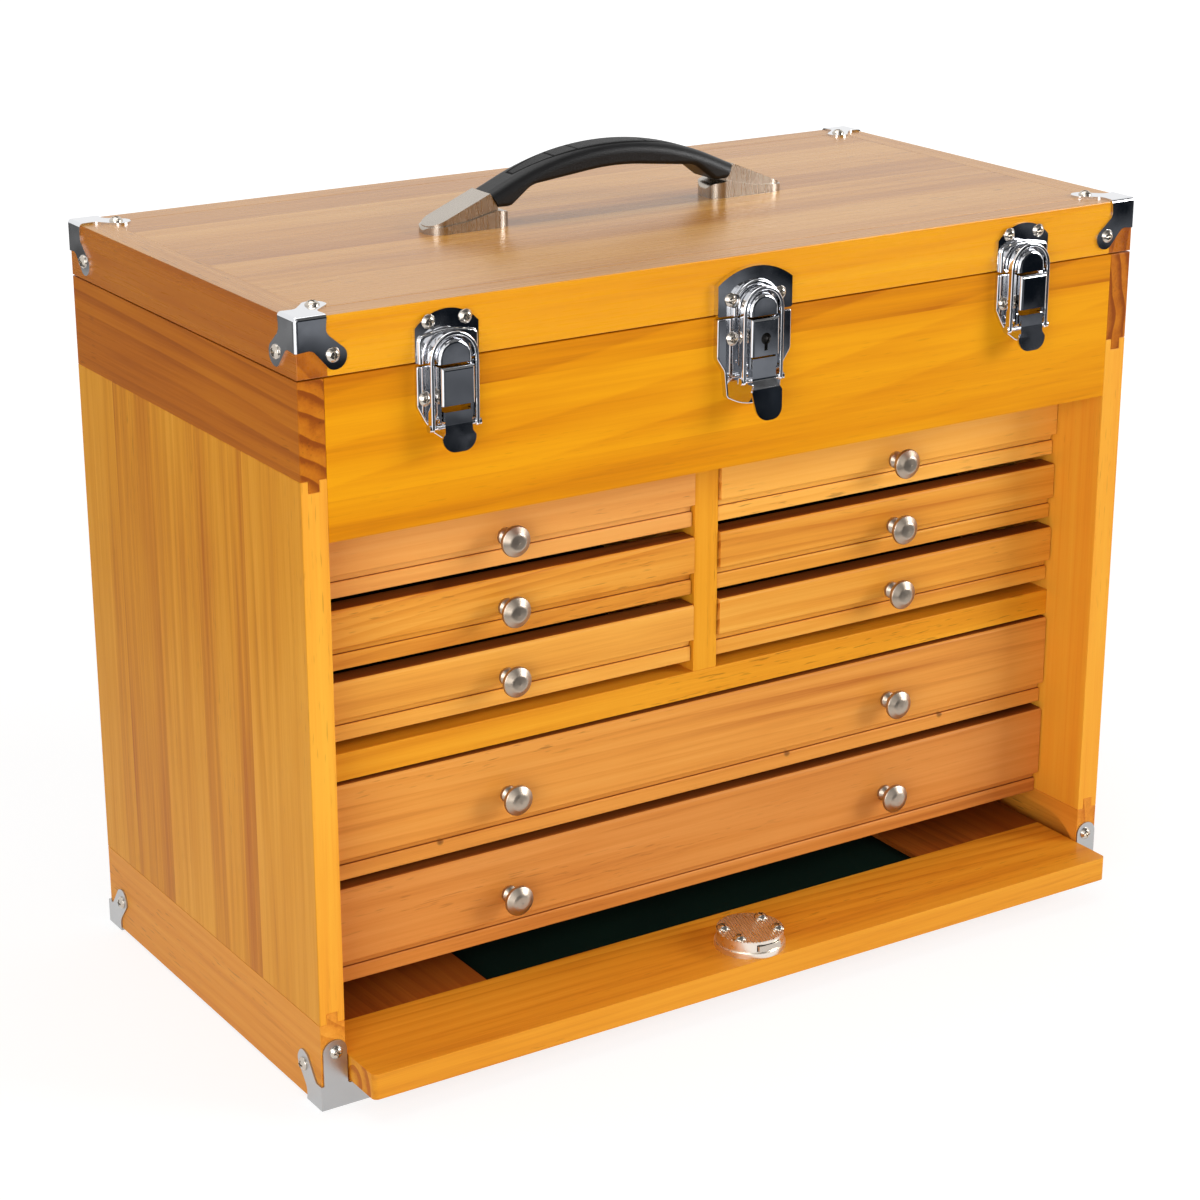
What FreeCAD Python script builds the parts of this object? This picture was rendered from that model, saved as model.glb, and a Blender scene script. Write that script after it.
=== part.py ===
import FreeCAD, Part
import math
import os
import re
import Sketcher

# Eight-drawer wooden machinist chest with a hinged lid, a slide-in front flap, three draw latches
# and a carrying handle. Millimetres, +Z up, +Y towards the back. The origin is at the middle of
# the whole chest's footprint, at floor level.

# Driving dimensions. Heights ending in _z are above the floor. Depths ending in _y and the places
# of all pieces are measured back from the front face of the case.
SIZES = {
    # Case
    "case_width": 515, "case_depth": 262, "case_top_z": 380, "front_y": -120.3,
    "side_thick": 14, "back_thick": 9, "base_lift": 1, "bottom_thick": 11.5,
    "batten_top_height": 48.5, "batten_bottom_z": 47, "tongue_width": 6, "tongue_length": 6,
    "till_board_z": 299.5, "till_board_thick": 14, "till_floor_z": 302, "till_floor_thick": 5,
    "housing_depth": 4, "rail_y": 37, "rail_z": 159, "rail_thick": 15, "rail_width": 24,
    "divider_thick": 15,
    # Drawers
    "face_y": 35.5, "front_thick": 12, "drawer_gap": 1, "drawer_side_inset": 0.5,
    "drawer_side_thick": 8, "drawer_back_y": 246, "drawer_bottom_thick": 4,
    "drawer_bottom_rise": 4, "drawer_box_rise": 1, "small_front_height": 33,
    "small_box_height": 28, "wide_front_height": 54, "wide_box_height": 48,
    "small_low_z": 180, "small_pitch": 38, "wide_low_z": 46, "wide_pitch": 57.5,
    "runner_height": 7, "runner_reach": 5.6, "runner_rise": 12, "runner_play": 0.4,
    "runner_slot_depth": 4.6, "cove_top": 12.8, "cove_depth": 4.6, "cove_radius": 3.8,
    "bead_height": 8.6, "bead_setback": 3, "bead_round": 1.2, "front_round": 2.2,
    # Knobs
    "knob_radius": 8.3, "knob_reach": 14.4, "knob_neck": 2.8, "knob_foot": 4.7,
    "knob_bore": 2, "knob_bore_depth": 8, "knob_screw_head": 4,
    # Front flap
    "flap_out": 27, "flap_length": 277, "flap_side_gap": 1.2, "flap_z": 13.5, "flap_thick": 14,
    "flap_rail": 60, "flap_left_stile": 101, "flap_right_stile": 92, "flap_panel_thick": 10.5,
    "flap_corner_round": 3,
    "baize_thick": 0.8, "pin_radius": 2.5, "pin_reach": 5, "pin_hold": 12, "pin_rise": 7,
    "pin_inset": 7, "track_low_z": 16.5, "track_high_z": 38, "track_front_y": 4,
    "track_depth": 7, "track_shoulder_z": 26, "track_shoulder_y": 16, "track_round": 30,
    # Flap lock
    "lock_radius": 19.5, "lock_setback": 0.3, "lock_flange": 3, "lock_height": 9.7,
    "lock_x": 1.5, "lock_screw_x": 12.6, "lock_screw_y": 7.7, "lock_screw_length": 17,
    "lock_step": 1, "bolt_width": 14,
    "bolt_thick": 3.2, "bolt_length": 22, "bolt_play": 0.35, "bolt_rise": 4.2,
    # Lid
    "lid_gap": 0.7, "lid_height": 29, "lid_rail_thick": 16, "lid_panel_thick": 12,
    # Sheet-metal corner pieces
    "sheet": 1, "cap_screw": 18.7, "cap_lobe": 7.5, "cap_edge": 16, "cap_arm": 17.4, "cap_bend": 2,
    "bracket_tab_z": 38, "bracket_tab_width": 14.2, "bracket_leg": 38, "bracket_leg_z": 12,
    "bracket_bend_z": 13.5, "bracket_screw_x": 8, "bracket_screw_z": 31.2,
    "bracket_side_screw_y": 18.2, "bracket_side_screw_z": 18.7,
    # Domed wood screws
    "screw_head": 3.6, "screw_dome": 2.1, "screw_shank": 1.4, "screw_length": 10,
    "screw_hole": 1.6, "slot_width": 0.9, "slot_reach": 2.1, "slot_depth": 1.2,
    # Hinges
    "hinge_offset": 150, "hinge_length": 50, "knuckle_radius": 2.6, "knuckle_out": 3,
    "knuckle_split": 16, "knuckle_gap": 0.5, "hinge_pin": 1.2, "pin_play": 0.08,
    "leaf_thick": 1.2, "leaf_height": 18, "leaf_clear": 3.2,
    # Latches, side pair and centre
    "latch_offset": 178.2, "bail_width": 2.1, "bail_thick": 4.2, "bail_round": 0.8,
    "axle_radius": 1.2, "rivet_head": 2, "rivet_out": 0.9,
    "ear_thick": 1.1, "ear_radius": 2.9, "latch_sheet": 1.1, "latch_gap": 0.5,
    "boss_round": 1.4, "hook_round": 2.2, "pan_round": 0.9, "cover_round": 1.7,
    "cover_foot": 1.9,
    "latch_parting": 1.2, "strip_rise": 3.4,
    "side_keeper_half": 17.4, "side_keeper_top_z": 405.2, "side_keeper_shoulder_z": 397.4,
    "side_keeper_deep": 1.4, "side_keeper_screw_x": 10.2, "side_keeper_screw_z": 400.2,
    "side_swell_half": 16.4, "side_swell_shoulder_z": 393.5, "side_swell_apex_z": 397.1,
    "side_swell_arch": 50, "side_swell_deep": 3.2,
    "side_hook_half": 9.3, "side_hook_top_z": 392.2, "side_hook_deep": 9.7,
    "side_bail_half": 13.3, "side_bail_deep": 9.1, "side_bail_top_z": 395.6,
    "side_cover_half": 9.1, "side_cover_z": 360.6, "side_cover_deep": 12.4,
    "side_pan_half": 17.3, "side_pan_shoulder_z": 359.4, "side_pan_neck_half": 13.4,
    "side_pan_neck_z": 351.8, "side_pan_foot_half": 9.6, "side_pan_foot_z": 346,
    "side_pan_end_z": 338.9, "side_pan_end_round": 7, "side_pan_deep": 2.6,
    "side_pan_screw_x": 13, "side_pan_screw_z": 363,
    "side_pivot_deep": 6.2, "side_pivot_z": 354, "side_bail_pin_deep": 7, "side_bail_pin_z": 349.4,
    "side_tab_front": 11.5, "side_tab_bend_z": 351, "side_tab_step_deep": 12, "side_tab_step_z": 345.4,
    "side_tab_deep": 12.8, "side_tab_waist": 7.5, "side_tab_waist_z": 347.2, "side_tab_half": 9.3,
    "side_tab_corner_z": 344.6, "side_tab_z": 337.5, "side_tab_foot": 8.6, "side_tab_round": 7,
    "centre_keeper_half": 23, "centre_keeper_top_z": 404.2, "centre_keeper_shoulder_z": 396.4,
    "centre_keeper_deep": 3.8, "centre_keeper_screw_x": 15.2, "centre_keeper_screw_z": 388.6,
    "centre_swell_half": 14.6, "centre_swell_shoulder_z": 389.5, "centre_swell_apex_z": 403.6,
    "centre_swell_arch": 14.7, "centre_swell_deep": 6,
    "centre_hook_half": 8.9, "centre_hook_top_z": 391.8, "centre_hook_deep": 12.4,
    "centre_bail_half": 12.5, "centre_bail_deep": 11.9, "centre_bail_top_z": 395.3, "centre_seat": 4.1,
    "centre_cover_half": 8.7, "centre_cover_z": 359.8, "centre_cover_deep": 13.6,
    "centre_pan_half": 22.9, "centre_pan_shoulder_z": 358.6, "centre_pan_neck_half": 18.2,
    "centre_pan_neck_z": 351.5, "centre_pan_foot_half": 16.6, "centre_pan_foot_z": 337.5,
    "centre_pan_end_z": 329, "centre_pan_end_round": 28, "centre_pan_deep": 3.8,
    "centre_pan_screw_x": 14, "centre_pan_screw_z": 368.4,
    "centre_pivot_deep": 8.6, "centre_pivot_z": 355, "centre_bail_pin_deep": 9.8,
    "centre_bail_pin_z": 347,
    "centre_tab_front": 12.4, "centre_tab_bend_z": 347.4, "centre_tab_step_deep": 15,
    "centre_tab_step_z": 343.2, "centre_tab_deep": 18.5, "centre_tab_waist": 7.4,
    "centre_tab_waist_z": 345, "centre_tab_half": 9.4, "centre_tab_corner_z": 341.6,
    "centre_tab_z": 327.2, "centre_tab_foot": 7.3, "centre_tab_round": 7,
    "keyhole_z": 368.7, "keyhole_radius": 3, "keyhole_slot": 2, "keyhole_drop": 6.2,
    "cam_radius": 3.7, "cam_thick": 2, "cam_reach": 7, "cam_width": 3, "cam_gap": 0.6,
    # Handle
    "handle_x": -2.8, "handle_y": 132, "cap_heel_x": 64, "cap_toe_x": 113.3, "cap_half_width": 10.5,
    "cap_heel_rise": 7.5, "cap_throat_x": 72.8, "cap_throat_rise": 10.8, "cap_crown_x": 77.5,
    "cap_crown_rise": 18.5, "cap_toe_rise": 3.6, "cap_toe_round": 9.5, "cap_heel_round": 8,
    "cap_crease_x": 92, "cap_crease_rise": 5.4, "cap_crease_top": 9.4, "cap_flare": 1.1,
    "grip_half_width": 11, "grip_tangent_rise": 53, "grip_top_radius": 160,
    "grip_lobe_x": 65, "grip_lobe_rise": 10.6, "grip_hollow_x": 52, "grip_hollow_rise": 20.5,
    "grip_arch_rise": 26.3, "grip_arch_radius": 150, "grip_round": 6, "grip_low_round": 2.5,
    "handle_screw_x": 84, "handle_screw_radius": 2, "handle_screw_hold": 6,
    "handle_screw_head": 4.2,
}

doc = FreeCAD.newDocument("MachinistChest")
sheet = doc.addObject("Spreadsheet::Sheet", "Sizes")
for row, (alias, amount) in enumerate(SIZES.items(), start=1):
    sheet.set(f"A{row}", alias)
    sheet.set(f"B{row}", str(amount))
    sheet.setAlias(f"B{row}", alias)
doc.recompute()

ALIAS = re.compile(r"[a-z]+(?:_[a-z]+)*")
subparts = []


def size(text):
    """The text with the sheet's name before each of its aliases."""
    return ALIAS.sub(lambda word: "Sizes." + word.group(0) if word.group(0) in SIZES else word.group(0),
                     str(text))


def number(text):
    """What a size works out to, in millimetres."""
    return float(sheet.evalExpression(size(text)))


def vector(x, y, z):
    """A point given from the middle of the case's front, in the part's own frame."""
    return FreeCAD.Vector(number(x), number(y) + number("front_y"), number(z))


def bind(thing, **fields):
    for field, text in fields.items():
        thing.setExpression(field, size(text))


# Masters that are copied stand at the frame's own origin
AT_ORIGIN = (0, "-front_y", 0)


def place(thing, x=0, y=0, z=0):
    """Puts an object at a point given from the middle of the case's front."""
    thing.setExpression("Placement.Base.x", size(x))
    thing.setExpression("Placement.Base.y", size(f"{y} + front_y"))
    thing.setExpression("Placement.Base.z", size(z))
    return thing


def board(name, low, high):
    """A plain board between two corners."""
    thing = doc.addObject("Part::Box", name)
    spans = [f"({b}) - ({a})" for a, b in zip(low, high)]
    bind(thing, Length=spans[0], Width=spans[1], Height=spans[2])
    return place(thing, *low)


# Turns that point an upright piece along an axis
TURNS = {
    "X": FreeCAD.Rotation(FreeCAD.Vector(0, 1, 0), 90),
    "-X": FreeCAD.Rotation(FreeCAD.Vector(0, 1, 0), -90),
    "Y": FreeCAD.Rotation(FreeCAD.Vector(1, 0, 0), -90),
    "-Y": FreeCAD.Rotation(FreeCAD.Vector(1, 0, 0), 90),
    "Z": FreeCAD.Rotation(),
}


def rod(name, axis, radius, length, start):
    """A round bar from start along an axis."""
    thing = doc.addObject("Part::Cylinder", name)
    bind(thing, Radius=radius, Height=length)
    thing.Placement.Rotation = TURNS[axis]
    return place(thing, *start)


def cut(name, base, *tools):
    """The base with the tools taken away."""
    thing = doc.addObject("Part::Cut", name)
    thing.Base = base
    thing.Tool = tools[0] if len(tools) == 1 else joined(name + "_tools", *tools)
    return thing


def joined(name, *pieces):
    thing = doc.addObject("Part::MultiFuse", name)
    thing.Shapes = list(pieces)
    return thing


def shared(name, *pieces):
    """Where all the pieces overlap."""
    thing = doc.addObject("Part::MultiCommon", name)
    thing.Shapes = list(pieces)
    return thing


def group(name, *pieces):
    """Separate solids in one node."""
    thing = doc.addObject("Part::Compound", name)
    thing.Links = list(pieces)
    return thing


def mirrored(name, source, normal):
    """The source mirrored across the middle of the chest's width, or of the case's depth."""
    thing = doc.addObject("Part::Mirroring", name)
    thing.Source = source
    thing.Normal = normal
    thing.Base = FreeCAD.Vector(0, number("case_depth / 2 + front_y"), 0)
    return thing


def keep(thing, label):
    """Marks an object as a sub-part, under the name of its file."""
    thing.Label = label
    subparts.append(thing)
    return thing


def round_corner(before, here, after, radius):
    """Start, middle and end of the arc that rounds a corner."""
    back = (before - here).normalize()
    ahead = (after - here).normalize()
    half = back.getAngle(ahead) / 2
    run = radius / math.tan(half)
    inward = (back + ahead).normalize()
    middle = here + inward * (radius / math.sin(half) - radius)
    return here + back * run, middle, here + ahead * run


def outline(body, role, corners):
    """A closed sketch on one of the body's planes. A corner with a third value is rounded by it."""
    sketch = body.newObject("Sketcher::SketchObject", body.Name + "_outline")
    plane = next(f for f in body.Origin.OriginFeatures if f.Role == role)
    sketch.AttachmentSupport = [(plane, "")]
    sketch.MapMode = "FlatFace"
    points = [FreeCAD.Vector(number(c[0]), number(c[1]), 0) for c in corners]
    ends = []
    for i, corner in enumerate(corners):
        if len(corner) == 3:
            following = points[(i + 1) % len(points)]
            ends.append(round_corner(points[i - 1], points[i], following, number(corner[2])))
        else:
            ends.append((points[i], None, points[i]))
    lines = []
    for i in range(len(corners)):
        after = ends[(i + 1) % len(ends)][0]
        lines.append(sketch.addGeometry(Part.LineSegment(ends[i][2], after), False))

    def fix(geometry, corner, point):
        for kind, text, amount in (("DistanceX", corner[0], point.x), ("DistanceY", corner[1], point.y)):
            index = sketch.addConstraint(Sketcher.Constraint(kind, -1, 1, geometry, 1, amount))
            sketch.setExpression(f"Constraints[{index}]", size(text))

    for i, corner in enumerate(corners):
        before, after = lines[i - 1], lines[i]
        if len(corner) == 2:
            sketch.addConstraint(Sketcher.Constraint("Coincident", before, 2, after, 1))
            fix(after, corner, points[i])
            continue
        mark = sketch.addGeometry(Part.Point(points[i]), True)
        fix(mark, corner, points[i])
        arc = sketch.addGeometry(Part.Arc(*ends[i]), False)
        turn = (points[i] - points[i - 1]).cross(points[(i + 1) % len(points)] - points[i])
        first, last = (1, 2) if turn.z > 0 else (2, 1)
        sketch.addConstraint(Sketcher.Constraint("Tangent", before, 2, arc, first))
        sketch.addConstraint(Sketcher.Constraint("Tangent", arc, last, after, 1))
        sketch.addConstraint(Sketcher.Constraint("PointOnObject", mark, 1, before))
        sketch.addConstraint(Sketcher.Constraint("PointOnObject", mark, 1, after))
        index = sketch.addConstraint(Sketcher.Constraint("Radius", arc, number(corner[2])))
        sketch.setExpression(f"Constraints[{index}]", size(corner[2]))
    return sketch


def plate(name, role, corners, thick, at=(0, 0, 0), both=False):
    """A plate of an outline. It grows towards -Y from XZ_Plane, +X from YZ_Plane, +Z from XY_Plane."""
    body = doc.addObject("PartDesign::Body", name)
    pad = body.newObject("PartDesign::Pad", name + "_pad")
    pad.Profile = outline(body, role, corners)
    pad.Midplane = both
    bind(pad, Length=thick)
    body.Tip = pad
    return place(body, *at)


def turned(name, corners):
    """A master turned about the Z axis, from an outline of radius and height."""
    body = doc.addObject("PartDesign::Body", name)
    spin = body.newObject("PartDesign::Revolution", name + "_spin")
    spin.Profile = outline(body, "XZ_Plane", corners)
    spin.ReferenceAxis = (spin.Profile[0], ["V_Axis"])
    spin.Angle = 360
    body.Tip = spin
    return place(body, *AT_ORIGIN)


def copies(name, masters, places):
    """One node of separate copies of the masters, each set turned and moved to its place."""
    thing = doc.addObject("Part::Feature", name)
    solids = []
    for point, turn in places:
        spot = FreeCAD.Placement(vector(*point), turn).toMatrix()
        solids.extend(master.Shape.transformed(spot) for master in masters)
    thing.Shape = Part.Compound(solids)
    return thing


def rounded(name, base, choose):
    """The base with some edges rounded. For each edge, choose gives its radius, or none."""
    doc.recompute()
    thing = doc.addObject("Part::Fillet", name)
    thing.Base = base
    chosen = []
    for index, edge in enumerate(base.Shape.Edges, start=1):
        radius = choose(edge)
        if radius:
            chosen.append((index, number(radius), number(radius)))
    thing.Edges = chosen
    return thing


# Case

IN_LEFT = "-case_width / 2 + side_thick"
IN_RIGHT = "case_width / 2 - side_thick"
BACK_Y = "case_depth - back_thick"
BATTEN_JOINT_Z = "case_top_z - batten_top_height"
TONGUE_IN = "(side_thick - tongue_width) / 2"


def side_panels():
    """Upright staves, grooved top and bottom for the battens' tongues and inside for the till floor."""
    panel = board("panel_board", ("-case_width / 2", 0, "batten_bottom_z"),
                  (IN_LEFT, "case_depth", BATTEN_JOINT_Z))
    left = f"-case_width / 2 + {TONGUE_IN}"
    right = f"{left} + tongue_width"
    top = board("panel_top_groove", (left, 0, f"{BATTEN_JOINT_Z} - tongue_length"),
                (right, "case_depth", BATTEN_JOINT_Z))
    low = board("panel_low_groove", (left, 0, "batten_bottom_z"),
                (right, "case_depth", "batten_bottom_z + tongue_length"))
    floor = board("panel_floor_groove", (f"{IN_LEFT} - housing_depth", "till_board_thick - housing_depth",
                                         "till_floor_z"),
                  (IN_LEFT, f"{BACK_Y} + housing_depth", "till_floor_z + till_floor_thick"))
    left_panel = cut("left_panel", panel, top, low, floor)
    right_panel = mirrored("right_panel", left_panel, FreeCAD.Vector(1, 0, 0))
    keep(group("panels", left_panel, right_panel), "side_panels")


def side_battens():
    """Level boards across the top and bottom of each side, tongued into the staves."""
    left = f"-case_width / 2 + {TONGUE_IN}"
    right = f"{left} + tongue_width"
    top_board = board("top_batten_board", ("-case_width / 2", 0, BATTEN_JOINT_Z),
                      (IN_LEFT, "case_depth", "case_top_z"))
    top_tongue = board("top_batten_tongue", (left, 0, f"{BATTEN_JOINT_Z} - tongue_length"),
                       (right, "case_depth", BATTEN_JOINT_Z))
    top_left = joined("left_top_batten", top_board, top_tongue)
    top_right = mirrored("right_top_batten", top_left, FreeCAD.Vector(1, 0, 0))
    keep(group("top_battens", top_left, top_right), "side_top_battens")

    low_board = board("low_batten_board", ("-case_width / 2", 0, "base_lift"),
                      (IN_LEFT, "case_depth", "batten_bottom_z"))
    low_tongue = board("low_batten_tongue", (left, 0, "batten_bottom_z"),
                       (right, "case_depth", "batten_bottom_z + tongue_length"))
    track_end = "flap_length - flap_out + 1"
    track = plate("flap_track", "YZ_Plane", [
        ("track_front_y", "track_low_z"),
        (track_end, "track_low_z"),
        (track_end, "track_high_z"),
        ("track_shoulder_y", "track_high_z", "track_round"),
        ("track_front_y", "track_shoulder_z"),
    ], "track_depth + 1", (f"{IN_LEFT} - track_depth", 0, 0))
    low_left = cut("left_low_batten", joined("low_batten", low_board, low_tongue), track)
    low_right = mirrored("right_low_batten", low_left, FreeCAD.Vector(1, 0, 0))
    keep(group("low_battens", low_left, low_right), "side_bottom_battens")


def till():
    """The board across the front above the drawers, the thin floor behind it and the back."""
    floor_top = "till_floor_z + till_floor_thick"
    face = board("till_board", (IN_LEFT, 0, "till_board_z"), (IN_RIGHT, "till_board_thick", "case_top_z"))
    face_groove = board("till_board_groove", (IN_LEFT, "till_board_thick - housing_depth", "till_floor_z"),
                        (IN_RIGHT, "till_board_thick", floor_top))
    keep(cut("till_face", face, face_groove), "till_front_board")

    back = board("back_board", (IN_LEFT, BACK_Y, "base_lift"), (IN_RIGHT, "case_depth", "case_top_z"))
    back_groove = board("back_groove", (IN_LEFT, BACK_Y, "till_floor_z"),
                        (IN_RIGHT, f"{BACK_Y} + housing_depth", floor_top))
    keep(cut("back", back, back_groove), "back_panel")

    low = (f"{IN_LEFT} - housing_depth", "till_board_thick - housing_depth", "till_floor_z")
    high = (f"{IN_RIGHT} + housing_depth", f"{BACK_Y} + housing_depth", floor_top)
    keep(board("till_floor", low, high), "till_floor")


def inner_frame():
    """The base, the rails under the small drawers and the post between them."""
    keep(board("base_board", (IN_LEFT, 0, "base_lift"), (IN_RIGHT, BACK_Y, "base_lift + bottom_thick")),
         "bottom_board")
    rail_top = "rail_z + rail_thick"
    front = board("front_rail", (IN_LEFT, "rail_y", "rail_z"), (IN_RIGHT, "rail_y + rail_width", rail_top))
    rear = board("rear_rail", (IN_LEFT, f"{BACK_Y} - rail_width", "rail_z"), (IN_RIGHT, BACK_Y, rail_top))
    keep(group("rails", front, rear), "mid_rails")
    keep(board("divider", ("-divider_thick / 2", "rail_y", rail_top),
               ("divider_thick / 2", BACK_Y, "till_floor_z")), "centre_divider")


# Drawers. Each has the x of its left and right ends, the height of its bottom edge, its kind and
# its knobs' places across.
HALF_LEFT = (f"{IN_LEFT} + drawer_gap", "-divider_thick / 2 - drawer_gap")
HALF_RIGHT = ("divider_thick / 2 + drawer_gap", f"{IN_RIGHT} - drawer_gap")
FULL = (f"{IN_LEFT} + drawer_gap", f"{IN_RIGHT} - drawer_gap")
KNOB_X = f"({IN_RIGHT} + divider_thick / 2) / 2"
DRAWERS = []
for column, (ends, knob_x) in enumerate(((HALF_LEFT, f"-({KNOB_X})"), (HALF_RIGHT, KNOB_X))):
    for step in (2, 1, 0):
        DRAWERS.append((ends, f"small_low_z + {step} * small_pitch", "small", [knob_x]))
for step in (1, 0):
    DRAWERS.append((FULL, f"wide_low_z + {step} * wide_pitch", "wide", [f"-({KNOB_X})", KNOB_X]))


def runners():
    """Wooden strips that the drawers' sides slide on, one at each end of each drawer."""
    strips = []
    for index, ((left, right), low, kind, knobs) in enumerate(DRAWERS, start=1):
        strip_z = f"{low} + runner_rise"
        left_wall = f"{left} - drawer_gap"
        right_wall = f"{right} + drawer_gap"
        for end, (a, b) in {"left": (left_wall, f"{left_wall} + runner_reach"),
                            "right": (f"{right_wall} - runner_reach", right_wall)}.items():
            strips.append(board(f"runner_{index}_{end}", (a, "face_y + front_thick + 3", strip_z),
                                (b, f"{BACK_Y} - 3", f"{strip_z} + runner_height")))
    keep(group("runners", *strips), "drawer_runners")


def drawer_front(name, left, right, low, kind, knobs):
    """A front with a rounded top, a cove and a bead along its foot, grooved for the bottom."""
    height = f"{kind}_front_height"
    blank = plate(f"{name}_moulding", "YZ_Plane", [
        (0, height, "front_round"),
        (0, "cove_top", 0.5),
        ("cove_depth", "cove_top", "cove_radius"),
        ("cove_depth", "bead_height"),
        ("bead_setback", "bead_height", "bead_round"),
        ("bead_setback", 0, 0.8),
        ("front_thick", 0),
        ("front_thick", height),
    ], f"{right} - ({left})", (left, "face_y", low))
    inner = "face_y + front_thick"
    bottom_z = f"{low} + drawer_bottom_rise"
    inset = "drawer_side_inset + drawer_side_thick - housing_depth"
    groove = board(f"{name}_front_groove", (f"{left} + {inset}", f"{inner} - housing_depth", bottom_z),
                   (f"{right} - ({inset})", inner, f"{bottom_z} + drawer_bottom_thick"))
    holes = [rod(f"{name}_hole_{i}", "Y", "knob_bore + 0.2", "front_thick + 2",
                 (x, "face_y - 1", f"{low} + {height} / 2")) for i, x in enumerate(knobs, start=1)]
    keep(cut(f"{name}_face", blank, groove, *holes), f"{name}_front")


def drawer_box(name, left, right, low, kind):
    """Two grooved sides, a back and a thin bottom."""
    front_y = "face_y + front_thick"
    base = f"{low} + drawer_box_rise"
    top = f"{base} + {kind}_box_height"
    bottom_z = f"{low} + drawer_bottom_rise"
    bottom_top = f"{bottom_z} + drawer_bottom_thick"
    slot_z = f"{low} + runner_rise - runner_play"
    slot_top = f"{low} + runner_rise + runner_height + runner_play"
    sides = []
    outer_left = f"{left} + drawer_side_inset"
    outer_right = f"{right} - drawer_side_inset"
    inner_left = f"{outer_left} + drawer_side_thick"
    inner_right = f"{outer_right} - drawer_side_thick"
    for end, (a, b), (slot_a, slot_b), (groove_a, groove_b) in (
            ("left", (outer_left, inner_left), (outer_left, f"{outer_left} + runner_slot_depth"),
             (f"{inner_left} - housing_depth", inner_left)),
            ("right", (inner_right, outer_right), (f"{outer_right} - runner_slot_depth", outer_right),
             (inner_right, f"{inner_right} + housing_depth"))):
        blank = board(f"{name}_{end}_board", (a, front_y, base), (b, "drawer_back_y", top))
        slot = board(f"{name}_{end}_slot", (slot_a, front_y, slot_z), (slot_b, "drawer_back_y", slot_top))
        groove = board(f"{name}_{end}_groove", (groove_a, front_y, bottom_z),
                       (groove_b, "drawer_back_y", bottom_top))
        sides.append(cut(f"{name}_{end}_side", blank, slot, groove))
    back = board(f"{name}_back", (inner_left, "drawer_back_y - drawer_side_thick", bottom_top),
                 (inner_right, "drawer_back_y", top))
    bottom = board(f"{name}_bottom",
                   (f"{inner_left} - housing_depth", f"{front_y} - housing_depth", bottom_z),
                   (f"{inner_right} + housing_depth", "drawer_back_y", bottom_top))
    keep(group(f"{name}_carcass", *sides, back, bottom), f"{name}_box")


def knob_masters():
    """A turned mushroom knob with a blind bore, and the screw that holds it from inside."""
    knob = turned("knob_blank", [
        (0, 0),
        ("knob_foot", 0),
        ("knob_foot", 1.6, 0.6),
        ("knob_neck", 3.4, 0.8),
        ("knob_neck", 6.6, 2),
        ("knob_radius", 9.4, 0.8),
        ("knob_radius", 11.4, 0.9),
        ("knob_radius * 0.52", "knob_reach - 0.4", 4),
        (0, "knob_reach"),
    ])
    bore = rod("knob_bore_tool", "Z", "knob_bore", "knob_bore_depth", AT_ORIGIN)
    screw = turned("knob_screw_master", [
        (0, "knob_bore_depth"),
        (0, "-front_thick - 2.4"),
        ("knob_screw_head * 0.6", "-front_thick - 2.4", 1.2),
        ("knob_screw_head", "-front_thick - 1", 0.5),
        ("knob_screw_head", "-front_thick"),
        ("knob_bore", "-front_thick"),
        ("knob_bore", "knob_bore_depth"),
    ])
    masters = [cut("knob_master", knob, bore), screw]
    doc.recompute()
    return masters


def drawers():
    masters = knob_masters()
    for index, ((left, right), low, kind, knobs) in enumerate(DRAWERS, start=1):
        name = f"drawer_{index}"
        drawer_front(name, left, right, low, kind, knobs)
        drawer_box(name, left, right, low, kind)
        middle = f"{low} + {kind}_front_height / 2"
        places = [((x, "face_y", middle), TURNS["-Y"]) for x in knobs]
        keep(copies(f"{name}_knobs", masters, places), f"{name}_knob")


# Front flap, stored flat in its slot under the drawers

FLAP_LEFT = f"{IN_LEFT} + flap_side_gap"
FLAP_RIGHT = f"{IN_RIGHT} - flap_side_gap"
FLAP_TOP = "flap_z + flap_thick"
FLAP_BACK = "flap_length - flap_out"


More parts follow.
